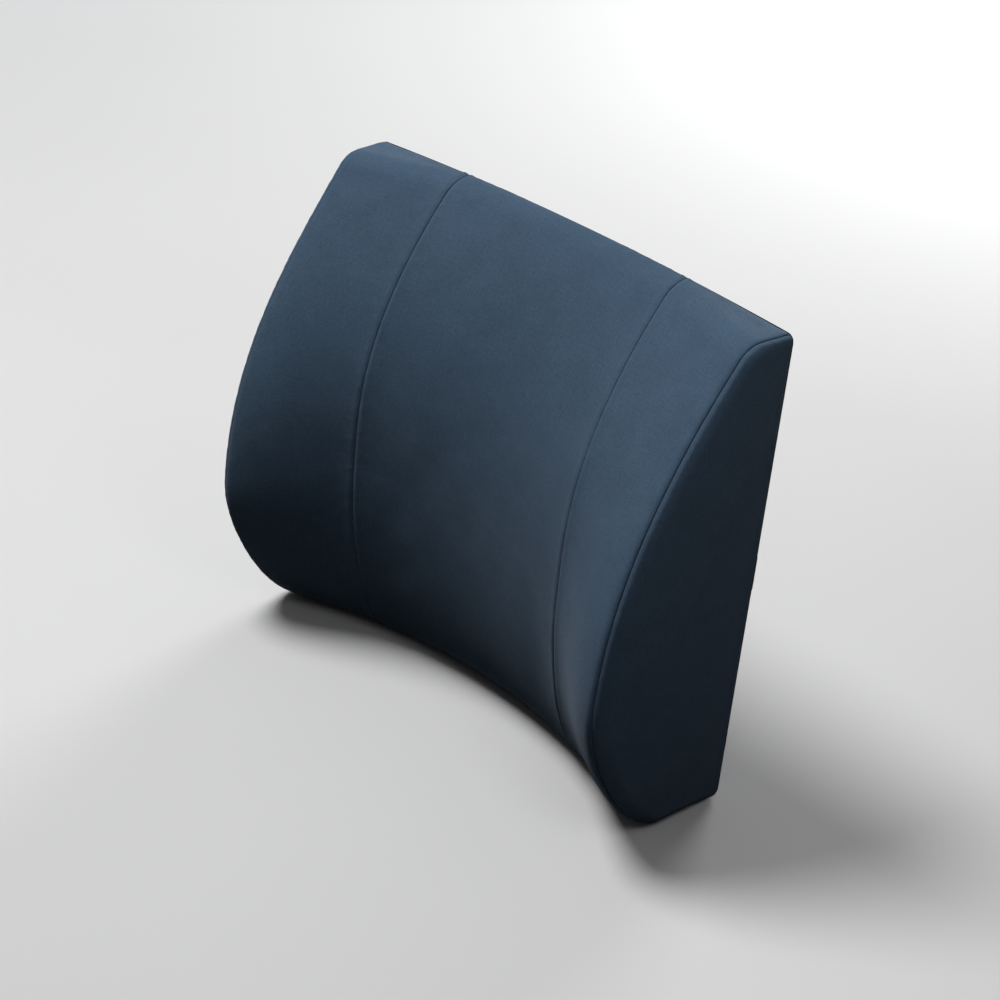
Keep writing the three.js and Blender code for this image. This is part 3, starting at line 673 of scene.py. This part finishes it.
# ----- stitches -----
def stitches(name, middles, directions, length, radius=0.2):
    """Short rounded threads on the back, whose ends dip into the cloth."""
    places = np.array([-1, -0.85, -0.5, 0, 0.5, 0.85, 1])
    girth = radius * np.array([0, 0.8, 1, 1, 1, 0.8, 0])
    lift = radius * (0.9 - 1.6 * places**2)
    around = 6
    turn = np.arange(around) * math.tau / around
    normal = np.array([0, 1.0, 0])
    vertices, faces = [], []
    for middle, direction in zip(middles, directions):
        beside = np.cross(direction, normal)
        faces += (tube_faces(len(places), around) + len(vertices) * around).tolist()
        for place, r, up in zip(places, girth, lift):
            centre = middle + direction * place * length / 2 + normal * up
            ring = np.cos(turn)[:, None] * beside + np.sin(turn)[:, None] * normal
            vertices.append(centre + r * ring)
    points = np.concatenate(vertices)
    return new_object(name, points, faces, points)


def along_line(start, end, spacing):
    """Middles and directions of stitches from start to end."""
    start, end = np.array(start, float), np.array(end, float)
    span = np.linalg.norm(end - start)
    count = max(1, round(span / spacing))
    share = (np.arange(count) + 0.5) / count
    direction = (end - start) / span
    return start + share[:, None] * (end - start), np.repeat(direction[None], count, 0)


def joined(lines):
    return np.concatenate([m for m, _ in lines]), np.concatenate([d for _, d in lines])


def box_lines(x0, x1, z0, z1, y, spacing, crossed):
    """Stitches round a rectangle in X and Z, with its diagonals if crossed."""
    a, b, c, d = (x0, y, z0), (x1, y, z0), (x1, y, z1), (x0, y, z1)
    pairs = [(a, b), (b, c), (c, d), (d, a)] + ([(a, c), (b, d)] if crossed else [])
    return joined([along_line(p, q, spacing) for p, q in pairs])


def zip_topstitch():
    """Thread in the groove round the zip's opening."""
    reach, rise = OPENING + HEM["place"], RISE + HEM["place"]
    lines = box_lines(-reach, reach, ZIP_Z - rise, ZIP_Z + rise, 0, 2.8, False)
    return stitches("zip_topstitch", *lines, 2.2)


def strap_box_stitch():
    """A crossed box of thread that holds the doubled strap."""
    size, from_end = 20, 3
    low, high = STRAP_Z - 9.5, STRAP_Z + 9.5
    x = SOCKET_TURN - DOUBLED + from_end
    lines = box_lines(x, x + size, low, high, NEXT_LAYER + WEBBING / 2, 2.5, True)
    return stitches("strap_box_stitch", *lines, 2.1, 0.25)


def strap_bartacks():
    """A dense row of thread across each strap, beside the side seam."""
    place, half, spacing, count = 166, 1.4, 0.9, 27
    y = LOW_LAYER + WEBBING / 2
    lines = []
    for side in (-1, 1):
        for row in range(count):
            z = STRAP_Z + (row - (count - 1) / 2) * spacing
            middle = side * place
            lines.append(along_line((middle - half, y, z), (middle + half, y, z), 2 * half))
    return stitches("strap_bartacks", *joined(lines), 2.9, 0.3)


def strap_hem_stitch():
    """Two rows of thread across the hem of the tail."""
    reach = 11
    y = NEXT_LAYER + 1.4 * WEBBING
    lines = []
    for inset in (8.5, 10.5):
        x = PLUG_END + TAIL - inset
        lines.append(along_line((x, y, STRAP_Z - reach), (x, y, STRAP_Z + reach), 2.4))
    return stitches("strap_hem_stitch", *joined(lines), 2.0, 0.25)


# ----- zip and buckle -----
COIL_PITCH = 1.3
COIL_WIRE = 0.3


def coil(name, node, phase, towards):
    """One side of the zip's coil: a wire wound along X that reaches a little past the middle."""
    low, high = node_box(node)
    reach = 0.3
    rise = (high.y - low.y) / 2 - COIL_WIRE
    spread = (high.z - low.z + reach) / 2 - COIL_WIRE
    centre_z = (low.z + high.z) / 2 + towards * reach / 2
    turns = round((high.x - low.x - 2 * COIL_WIRE) / COIL_PITCH)
    angle = np.linspace(0, turns * math.tau, turns * 12 + 1)
    x = low.x + COIL_WIRE + (angle + phase) / math.tau * COIL_PITCH
    radial = np.stack([0 * angle, np.sin(angle), np.cos(angle)], 1)
    centre = np.stack([x, 0 * angle, 0 * angle], 1) + radial * [0, rise, spread]
    centre += [0, (low.y + high.y) / 2, centre_z]
    ring = np.arange(6) * math.tau / 6
    wire = np.cos(ring)[:, None] * radial[:, None] + np.sin(ring)[:, None] * np.array([1.0, 0, 0])
    return closed_tube(name, centre[:, None] + COIL_WIRE * wire)


def bevelled(name, node, width, bars=()):
    """A piece with a CAD node's shape and its edges rounded. bars are added to it."""
    mesh = bpy.data.meshes.new(name)
    built = bmesh.new()
    built.from_mesh(frame["nodes"][node].data)
    bmesh.ops.remove_doubles(built, verts=built.verts, dist=1e-5)
    edges_and_corners = {"verts": built.verts, "edges": built.edges}
    bmesh.ops.dissolve_limit(built, angle_limit=math.radians(1.5), **edges_and_corners)
    sharp = [e for e in built.edges if len(e.link_faces) == 2 and e.calc_face_angle() > 0.5]
    bmesh.ops.bevel(
        built, geom=sharp, offset=width * MM, segments=3, profile=0.5, affect="EDGES",
        clamp_overlap=True,
    )
    for bar in bars:
        add_bar(built, *bar)
    bmesh.ops.triangulate(built, faces=[f for f in built.faces if len(f.verts) > 4])
    write_mesh(built, mesh)
    mesh.shade_smooth()
    mesh.set_sharp_from_angle(angle=math.radians(32))
    return linked(name, mesh)


def add_bar(built, start, end, radius):
    """A bar with round ends between two points in millimetres."""
    start, end = (Vector(p) + Vector((0, BACK_Y, 0)) for p in (start, end))
    axis = end - start
    ball = bmesh.ops.create_uvsphere(built, u_segments=12, v_segments=9, radius=radius * MM)
    made = ball["verts"]
    for vertex in made:
        vertex.co.z += math.copysign(axis.length / 2 - radius, vertex.co.z) * MM
    turn = Vector((0, 0, 1)).rotation_difference(axis).to_matrix().to_4x4()
    place = Matrix.Translation((start + end) / 2 * MM)
    bmesh.ops.transform(built, matrix=place @ turn, verts=made)


def grip_ridges(side):
    """Bars on the pad of a release arm, where the finger presses."""
    radius, sunk = 0.5, 0.15
    low, high = node_box("buckle_arm_upper" if side > 0 else "buckle_arm_lower")
    z = (high.z if side > 0 else low.z) - side * sunk
    places = (-8.6, -6.7, -4.8)
    return [((x, low.y + radius, z), (x, high.y - radius, z), radius) for x in places]


def cross_ridges(node, places, reach, radius):
    """Low bars across the outside of the socket or plug, for grip."""
    y = node_box(node)[1].y - 0.05
    return [((x, y, STRAP_Z - reach), (x, y, STRAP_Z + reach), radius) for x in places]


# ----- inside the cover, and the label -----
def sheet(name, x0, x1, z0, z1, corner, thickness, height_at):
    """A thin rounded panel in X and Z. height_at gives the Y of its back surface."""
    width, middle = x1 - x0, (x0 + x1) / 2
    z = z0 + spaced(z1 - z0, 2.5)
    share = spaced(width, 2.5) / width * 2 - 1
    outline = (width / 2, z0, z1, corner)
    x = middle + share[:, None] * row_half(z, *outline)
    flat_z = np.broadcast_to(z, x.shape)
    rim = inside_distance(x - middle, flat_z, *outline)
    thin = thickness * np.clip(0.35 + rim / 1.5, 0.35, 1)
    y = height_at(x, flat_z)
    outer = np.stack([x, y - (thickness - thin) / 2, flat_z], -1)
    inner = outer - np.stack([0 * thin, thin, 0 * thin], -1)
    return shell(name, outer, inner, weave_of(x, flat_z, outer))


def board_sleeve():
    """The lining over the insert board, a little rippled."""
    low, high = node_box("board_sleeve")
    ripple = 0.08

    def rippled(x, z):
        return high.y - ripple + ripple * np.sin(x / 17) * np.sin(z / 23)

    return sheet("board_sleeve_cloth", low.x, high.x, low.z, high.z, 20, 0.7, rippled)


def care_label():
    """The blank label, sewn in at one side and curling away from the cover."""
    low, high = node_box("care_label")
    tucked, curl = 4.5, 2.2

    def curled(x, z):
        return high.y + curl * np.clip((x - low.x) / (high.x - low.x), 0, 1) ** 2.2

    return sheet("care_label_folded", low.x - tucked, high.x, low.z, high.z, 0.8, 0.5, curled)


def foam_block():
    """The foam that fills the swollen cover, with a recess for the insert board."""
    grid = cover_grid(4)
    normal = outward(grid)
    lift = crown(grid, normal) - WALL_BACK
    grid = grid + normal * lift[..., None]
    back = node_box("foam_core")[1].y
    settle = 12  # the foam closes up to the back over this depth
    near_back = np.clip(1 + (grid[..., 1] + WALL_BACK) / settle, 0, 1)
    grid[..., 1] += (back + WALL_BACK) * near_back
    grid[:, [0, -1], 1] = back
    body = remeshed(closed_tube("foam_core_block", grid), 4)
    body.data.shade_smooth()
    low, high = node_box("support_board")
    beyond = 3  # the cutter stands out past the back
    size = (high - low) / 2 + Vector((GAP, beyond, GAP))
    middle = (high + low) / 2 + Vector((0, beyond - GAP + BACK_Y, 0))
    built = bmesh.new()
    place = Matrix.Translation(middle * MM) @ Matrix.Diagonal((*(2 * size * MM), 1))
    bmesh.ops.create_cube(built, size=1, matrix=place)
    upright = [e for e in built.edges if abs(e.verts[0].co.y - e.verts[1].co.y) > 1e-3]
    bmesh.ops.bevel(built, geom=upright, offset=20 * MM, segments=8, profile=0.5, affect="EDGES")
    mesh = bpy.data.meshes.new("recess")
    write_mesh(built, mesh)
    cutter = linked("recess", mesh)
    cut = body.modifiers.new("Recess", "BOOLEAN")
    cut.operation = "DIFFERENCE"
    cut.solver = "EXACT"
    cut.object = cutter
    apply_modifier(body, "Recess")
    bpy.data.objects.remove(cutter)
    return body


# ----- materials -----
class Shader:
    """The nodes of a material, or of the world, with short calls for the ones used here."""

    def __init__(self, name, kind=bpy.data.materials):
        self.material = kind.new(name)
        self.material.use_nodes = True
        self.tree = self.material.node_tree

    def node(self, kind, settings=None, values=(), **named):
        """A new node. values go to its inputs in order, and None leaves one as it is."""
        made = self.tree.nodes.new("ShaderNode" + kind)
        for key, value in (settings or {}).items():
            setattr(made, key, value)
        self.fill(made, dict(enumerate(values)))
        self.fill(made, named)
        return made

    def fill(self, made, inputs):
        """Links or sets inputs of a node, by number or by name with _ for each space."""
        for key, value in inputs.items():
            socket = made.inputs[key.replace("_", " ") if isinstance(key, str) else key]
            if isinstance(value, bpy.types.NodeSocket):
                self.tree.links.new(value, socket)
            elif value is not None:
                socket.default_value = value

    def math(self, operation, a, b=0.0):
        return self.node("Math", {"operation": operation}, (a, b)).outputs[0]

    def times(self, a, b):
        return self.math("MULTIPLY", a, b)

    def noise(self, vector, scale, detail=3.0, roughness=0.5):
        made = self.node("TexNoise", Vector=vector, Scale=scale, Detail=detail, Roughness=roughness)
        return made.outputs["Fac"]

    def stretched(self, vector, x, y, z):
        made = self.node("Mapping", {"vector_type": "POINT"}, Vector=vector, Scale=(x, y, z))
        return made.outputs[0]

    def ramp(self, factor, low, high, colour, dark, light):
        """The colour times dark to times light, as the factor goes from low to high."""
        shades = scaled(colour, dark), scaled(colour, light)
        return self.mixed(self.remap(factor, low, high, 0, 1), *shades)

    def remap(self, factor, low, high, new_low, new_high):
        return self.node("MapRange", None, (factor, low, high, new_low, new_high)).outputs[0]

    def mixed(self, factor, a, b):
        """Colour a where the factor is 0, and b where it is 1."""
        colours = [(*c, 1) if isinstance(c, tuple) else c for c in (a, b)]
        values = (factor, *[None] * 5, *colours)
        return self.node("Mix", {"data_type": "RGBA"}, values).outputs[2]

    def either(self, factor, a, b):
        """Number a where the factor is 0, and b where it is 1."""
        return self.node("Mix", {"data_type": "FLOAT"}, (factor, None, a, b)).outputs[0]

    def dimmed(self, colour, shade):
        return self.node("VectorMath", {"operation": "SCALE"}, (colour,), Scale=shade).outputs[0]

    def bump(self, height, distance, strength=1.0):
        made = self.node("Bump", Height=height, Distance=distance * MM, Strength=strength)
        return made.outputs[0]

    def finish(self, colour, roughness, normal=None, **extra):
        surface = self.tree.nodes["Principled BSDF"]
        self.fill(surface, {"Base Color": colour, "Roughness": roughness, "Normal": normal})
        self.fill(surface, extra)
        return self.material


def linear(red, green, blue):
    """Linear values of an sRGB colour."""
    def one(value):
        value /= 255
        return value / 12.92 if value <= 0.04045 else ((value + 0.055) / 1.055) ** 2.4
    return (one(red), one(green), one(blue))


def scaled(colour, factor):
    return tuple(c * factor for c in colour)


WANDER = 1.6  # how far the threads stray from even lines, in millimetres


def woven(name, colour, pitch, sheen=0.12, contrast=0.22):
    """Plain-weave cloth: uneven threads over and under each other, with melange in each one, and
    painted shade where a thread dips under the next.
    """
    s = Shader(name)
    even = s.node("Attribute", {"attribute_name": "weave"}).outputs["Vector"]
    wander = s.node("TexNoise", Vector=even, Scale=0.35, Detail=3.0).outputs["Color"]
    shift = (wander, (WANDER, WANDER, 0), even)
    place = s.node("VectorMath", {"operation": "MULTIPLY_ADD"}, shift).outputs[0]
    parts = s.node("SeparateXYZ", Vector=place)
    u = s.math("COSINE", s.times(parts.outputs[0], math.pi / pitch))
    v = s.math("COSINE", s.times(parts.outputs[1], math.pi / pitch))
    warp_on_top = s.math("GREATER_THAN", s.times(u, v), 0)
    warp = s.math("ABSOLUTE", u)
    weft = s.math("ABSOLUTE", v)
    hill = s.math("POWER", s.either(warp_on_top, weft, warp), 0.6)
    along_warp = s.noise(s.stretched(place, 1.1 / pitch, 0.10, 1), 1.0, 4, 0.65)
    along_weft = s.noise(s.stretched(place, 0.10, 1.1 / pitch, 1), 1.0, 4, 0.65)
    thread = s.either(warp_on_top, along_weft, along_warp)
    melange = s.remap(thread, 0.3, 0.7, 1 - contrast, 1 + contrast)
    cloud, fleck = 0.32 * contrast, 0.45 * contrast
    cloudy = s.remap(s.noise(place, 0.035, 3), 0.3, 0.7, 1 - cloud, 1 + cloud)
    flecks = s.remap(s.noise(place, 0.55, 3, 0.7), 0.32, 0.68, 1 - fleck, 1 + fleck)
    # painted shade: the colour darkens where a thread dips under its neighbour
    depth = s.remap(hill, 0, 1, 0.74, 1.06)
    mottle = s.times(s.times(melange, cloudy), flecks)
    shade = s.dimmed(colour, s.times(mottle, depth))
    fuzz = s.noise(place, 3.0, 2)
    height = s.math("ADD", hill, s.times(fuzz, 0.5))
    rough = s.remap(thread, 0.3, 0.7, 0.82, 0.96)
    return s.finish(
        shade, rough, s.bump(height, 0.16, 0.7),
        Sheen_Weight=sheen, Sheen_Roughness=0.45, Sheen_Tint=(0.75, 0.85, 1.0, 1.0),
        Specular_IOR_Level=0.15,
    )


def solid(name):
    """A material's shader, and places on its object in millimetres."""
    s = Shader(name)
    place = s.node("TexCoord").outputs["Object"]
    return s, s.stretched(place, 1 / MM, 1 / MM, 1 / MM)


def twill(name, colour, pitch, band, roughness=0.6, sheen=0.1):
    """Webbing or zip tape: ribs in chevrons that change direction from band to band, with painted
    shade in the grooves between the ribs.
    """
    s = Shader(name)
    place = s.node("Attribute", {"attribute_name": "weave"}).outputs["Vector"]
    parts = s.node("SeparateXYZ", Vector=place)
    zigzag = s.math("PINGPONG", parts.outputs[1], band)
    slanted = s.math("ADD", parts.outputs[0], s.times(zigzag, 0.9))
    rib = s.math("ABSOLUTE", s.math("SINE", s.times(slanted, math.pi / pitch)))
    thread = s.math("SINE", s.times(parts.outputs[1], math.tau / (pitch * 0.6)))
    height = s.math("ADD", rib, s.times(thread, 0.18))
    fibre = s.noise(s.stretched(place, 0.8, 6, 1), 1.0, 4, 0.6)
    # painted shade: the colour darkens in the grooves between the ribs; the fibre noise is the
    # tape's own tone
    shade = s.times(s.remap(rib, 0, 1, 0.5, 1.1), s.remap(fibre, 0.3, 0.7, 0.8, 1.2))
    rough = s.remap(fibre, 0.3, 0.7, roughness - 0.1, roughness + 0.1)
    return s.finish(
        s.dimmed(colour, shade), rough, s.bump(height, 0.18, 0.8),
        Sheen_Weight=sheen, Sheen_Roughness=0.4, Specular_IOR_Level=0.4,
    )


def moulded(name, colour):
    """Moulded plastic with a fine spark-eroded grain, a few scuffs and a lighter colour on its
    convex edges.
    """
    s, place = solid(name)
    grain = s.noise(place, 5.0, 4, 0.6)
    scuff = s.noise(s.stretched(place, 0.5, 2.2, 0.25), 1.0, 6, 0.7)
    # the colour is lighter on convex edges, found from the mesh's pointiness
    edge_lightening = s.remap(s.node("NewGeometry").outputs["Pointiness"], 0.52, 0.62, 0, 0.5)
    base = s.ramp(scuff, 0.35, 0.75, colour, 0.9, 1.35)
    shade = s.mixed(edge_lightening, base, scaled(colour, 3.0))
    rough = s.remap(scuff, 0.3, 0.75, 0.36, 0.56)
    return s.finish(shade, rough, s.bump(grain, 0.05, 0.6), Specular_IOR_Level=0.5)


def brushed(name, colour):
    """Plated metal, brushed along its length, a little tarnished."""
    s, place = solid(name)
    lines = s.noise(s.stretched(place, 0.4, 9, 9), 1.0, 5, 0.65)
    tarnish = s.noise(place, 0.35, 3)
    shade = s.ramp(tarnish, 0.35, 0.7, colour, 0.75, 1)
    rough = s.math("ADD", s.remap(lines, 0.3, 0.7, 0.22, 0.38), s.remap(tarnish, 0.3, 0.7, 0, 0.08))
    return s.finish(shade, rough, s.bump(lines, 0.02, 0.5), Metallic=1.0)


def spun(name, colour):
    """Sewing thread, twisted along its length, with painted shade in the grooves of the twist."""
    s, place = solid(name)
    parts = s.node("SeparateXYZ", Vector=place)
    total = s.math("ADD", s.math("ADD", parts.outputs[0], parts.outputs[1]), parts.outputs[2])
    twist = s.math("SINE", s.times(total, 18.0))
    fuzz = s.noise(place, 8.0, 2)
    # painted shade: the colour darkens in the grooves of the twist
    shade = s.ramp(twist, -1, 1, colour, 0.7, 1.15)
    height = s.math("ADD", twist, fuzz)
    return s.finish(shade, 0.6, s.bump(height, 0.04, 0.6), Sheen_Weight=0.2)


def cellular(name, colour):
    """Open-cell foam, with painted shade in its pores."""
    s, place = solid(name)
    cells = s.node("TexVoronoi", Vector=place, Scale=1.1).outputs["Distance"]
    tone = s.noise(place, 0.06, 4)
    # painted shade: the colour darkens in the pores; the aged tone is the foam's own
    pores = s.ramp(cells, 0.1, 0.6, colour, 0.6, 1)
    aged = s.remap(tone, 0.3, 0.7, 0.0, 0.35)
    shade = s.mixed(aged, pores, scaled(colour, 0.85))
    return s.finish(shade, 0.95, s.bump(cells, 0.4, 0.8))


def fibreboard(name, colour):
    """Pressed board with short fibres."""
    s, place = solid(name)
    fibres = s.noise(s.stretched(place, 0.3, 0.3, 1.6), 1.0, 6, 0.7)
    patches = s.noise(place, 0.05, 3)
    shade = s.ramp(fibres, 0.3, 0.7, colour, 0.7, 1.15)
    rough = s.remap(patches, 0.3, 0.7, 0.65, 0.85)
    return s.finish(shade, rough, s.bump(fibres, 0.1, 0.5))


cloth_front = woven("cover_cloth", linear(68, 89, 110), 0.85)
cloth_back = woven("back_cloth", linear(56, 70, 88), 1.1)
lining = woven("sleeve_lining", linear(196, 196, 190), 0.7, 0.1, 0.1)
satin = woven("label_satin", linear(228, 226, 218), 0.45, 0.05, 0.06)
webbing = twill("strap_webbing", linear(26, 31, 39), 1.5, 3.1)
tape = twill("zip_tape_cloth", linear(34, 44, 57), 0.7, 1.6, 0.75)
plastic = moulded("moulded_black", linear(25, 26, 29))
nylon = moulded("coil_nylon", linear(34, 43, 54))
metal = brushed("plated_zinc", linear(172, 176, 180))
thread_blue = spun("cover_thread", linear(58, 74, 92))
thread_dark = spun("strap_thread", linear(44, 50, 58))
foam = cellular("foam_open_cell", linear(226, 216, 178))
board = fibreboard("insert_fibreboard", linear(150, 118, 80))

# ----- build -----
SWOLLEN = None
started, displaced = swell()
SWOLLEN = (tree_of(started), displaced)

finish_piece(front_centre(), cloth_front)
for side, place, seed in ((-1, "left", 20), (1, "right", 40)):
    piece = bolster(side, f"cover_front_{place}_cloth", seed)
    finish_piece(piece, cloth_front)
    piece = side_panel(side, f"cover_side_{place}_cloth", seed + 10)
    finish_piece(piece, cloth_front)

for sign, place, seed in ((1, "upper", 60), (-1, "lower", 70)):
    piece = back_panel(f"cover_back_{place}_cloth", sign, seed)
    finish_piece(piece, cloth_back)
    low, high = node_box(f"zip_tape_{place}")
    middle = (low.y + high.y) / 2
    path = trace((low.x, middle), ("line", (high.x, middle)))
    middle_z = (low.z + high.z - sign * GAP / 2) / 2
    width = high.z - low.z + GAP / 2
    piece = ribbon(f"zip_tape_{place}_cloth", path, middle_z, width, high.y - low.y)
    finish_piece(piece, tape)
    phase = 0 if sign > 0 else math.pi
    piece = coil(f"zip_coil_{place}_wound", f"zip_coil_{place}", phase, -sign)
    finish_piece(piece, nylon)

for name in ("zip_stop_left", "zip_stop_right"):
    finish_piece(bevelled(f"{name}_plated", name, 0.35), metal)
for name in ("zip_slider", "zip_pull"):
    finish_piece(bevelled(f"{name}_plated", name, 0.3), metal)

left_path, right_path, tail_path = strap_paths()
for name, path, body, hem in (
    ("strap_left", left_path, "root", 0),
    ("strap_right", right_path, "root", 0),
    ("strap_tail", tail_path, "buckle_plug", TAIL_HEM),
):
    piece = ribbon(f"{name}_webbing", path, STRAP_Z, WEBBING_WIDTH, WEBBING, hem)
    finish_piece(piece, webbing, body)

for name, width, bars in (
    ("buckle_socket", 0.45, cross_ridges("buckle_socket", (-6.2, -3.2, -0.2), 8, 0.55)),
    ("buckle_plug", 0.4, cross_ridges("buckle_plug", (11.2, 13.6), 11, 0.5)),
    ("buckle_arm_upper", 0.4, grip_ridges(1)),
    ("buckle_arm_lower", 0.4, grip_ridges(-1)),
):
    finish_piece(bevelled(f"{name}_moulding", name, width, bars), plastic)

finish_piece(zip_topstitch(), thread_blue)
finish_piece(strap_box_stitch(), thread_dark)
finish_piece(strap_bartacks(), thread_dark)
finish_piece(strap_hem_stitch(), thread_dark, "buckle_plug")

finish_piece(foam_block(), foam)
finish_piece(bevelled("support_board_panel", "support_board", 0.5), board)
finish_piece(board_sleeve(), lining)
finish_piece(care_label(), satin)


# ----- stage -----
BACKDROP = (0.86, 0.87, 0.88)


def build_floor():
    """A pale floor that fades into the backdrop."""
    mesh = bpy.data.meshes.new("floor")
    size, low = 6.0, -0.001
    corners = [(-size, -size, low), (size, -size, low), (size, size, low), (-size, size, low)]
    mesh.from_pydata(corners, [], [(0, 1, 2, 3)])
    floor = linked("floor", mesh)
    s = Shader("floor")
    place = s.node("TexCoord").outputs["Object"]
    from_middle = s.node("VectorMath", {"operation": "LENGTH"}, (place,)).outputs["Value"]
    far = s.remap(from_middle, 0.6, 2.4, 0, 1)
    grain = s.remap(s.noise(place, 2.0), 0.3, 0.7, 0.66, 0.68)
    grain = s.times(grain, s.math("SUBTRACT", 1.0, far))
    tone = s.node("CombineColor", Red=grain, Green=grain, Blue=grain)
    mesh.materials.append(
        s.finish(tone.outputs[0], 0.9, Emission_Color=(*BACKDROP, 1), Emission_Strength=far)
    )
    floor.visible_diffuse = False


def area_light(name, place, target, size, power):
    light = bpy.data.lights.new(name, "AREA")
    light.shape = "DISK"
    light.size = size
    light.energy = power
    lamp = linked(name, light)
    lamp.location = place
    lamp.rotation_euler = (Vector(target) - Vector(place)).to_track_quat("-Z", "Y").to_euler()


def build_world():
    """Pale to the camera, dim from above and darker from below as light."""
    s = Shader("studio", bpy.data.worlds)
    split = s.node("SeparateXYZ", Vector=s.node("TexCoord").outputs["Generated"])
    climb = s.remap(split.outputs["Z"], -0.1, 1.0, 0.0, 0.14)
    seen = s.node("LightPath").outputs["Is Camera Ray"]
    s.fill(s.tree.nodes["Background"], {"Color": s.mixed(seen, climb, BACKDROP)})
    bpy.context.scene.world = s.material


def build_camera():
    azimuth, elevation, turn = math.radians(42.90), math.radians(28.67), math.radians(6.23)
    target = Vector((8.37, -50 + BACK_Y, 153.09)) * MM
    distance = 1.5426
    level = math.cos(elevation)
    back = Vector((math.sin(azimuth) * level, -math.cos(azimuth) * level, math.sin(elevation)))
    right = Vector((math.cos(azimuth), math.sin(azimuth), 0))
    up = back.cross(right)
    turned_right = right * math.cos(turn) + up * math.sin(turn)
    turned_up = up * math.cos(turn) - right * math.sin(turn)
    lens = bpy.data.cameras.new("camera")
    lens.sensor_width = 36
    lens.lens = 87.55
    lens.clip_start = 0.05
    camera = linked("camera", lens)
    axes = Matrix((turned_right, turned_up, back)).transposed().to_4x4()
    camera.matrix_world = Matrix.Translation(target + back * distance) @ axes
    bpy.context.scene.camera = camera


build_floor()
build_world()
area_light("key", (-0.72, -0.5, 1.95), (0, 0, 0.15), 0.8, 38)
area_light("fill", (0.47, -0.22, 0.64), (0.18, 0, 0.2), 0.3, 0.56)
area_light("behind", (-0.7, 1.9, 0.6), (0, 0, 0.15), 0.9, 26)
build_camera()
bpy.context.scene.view_settings.view_transform = "Standard"
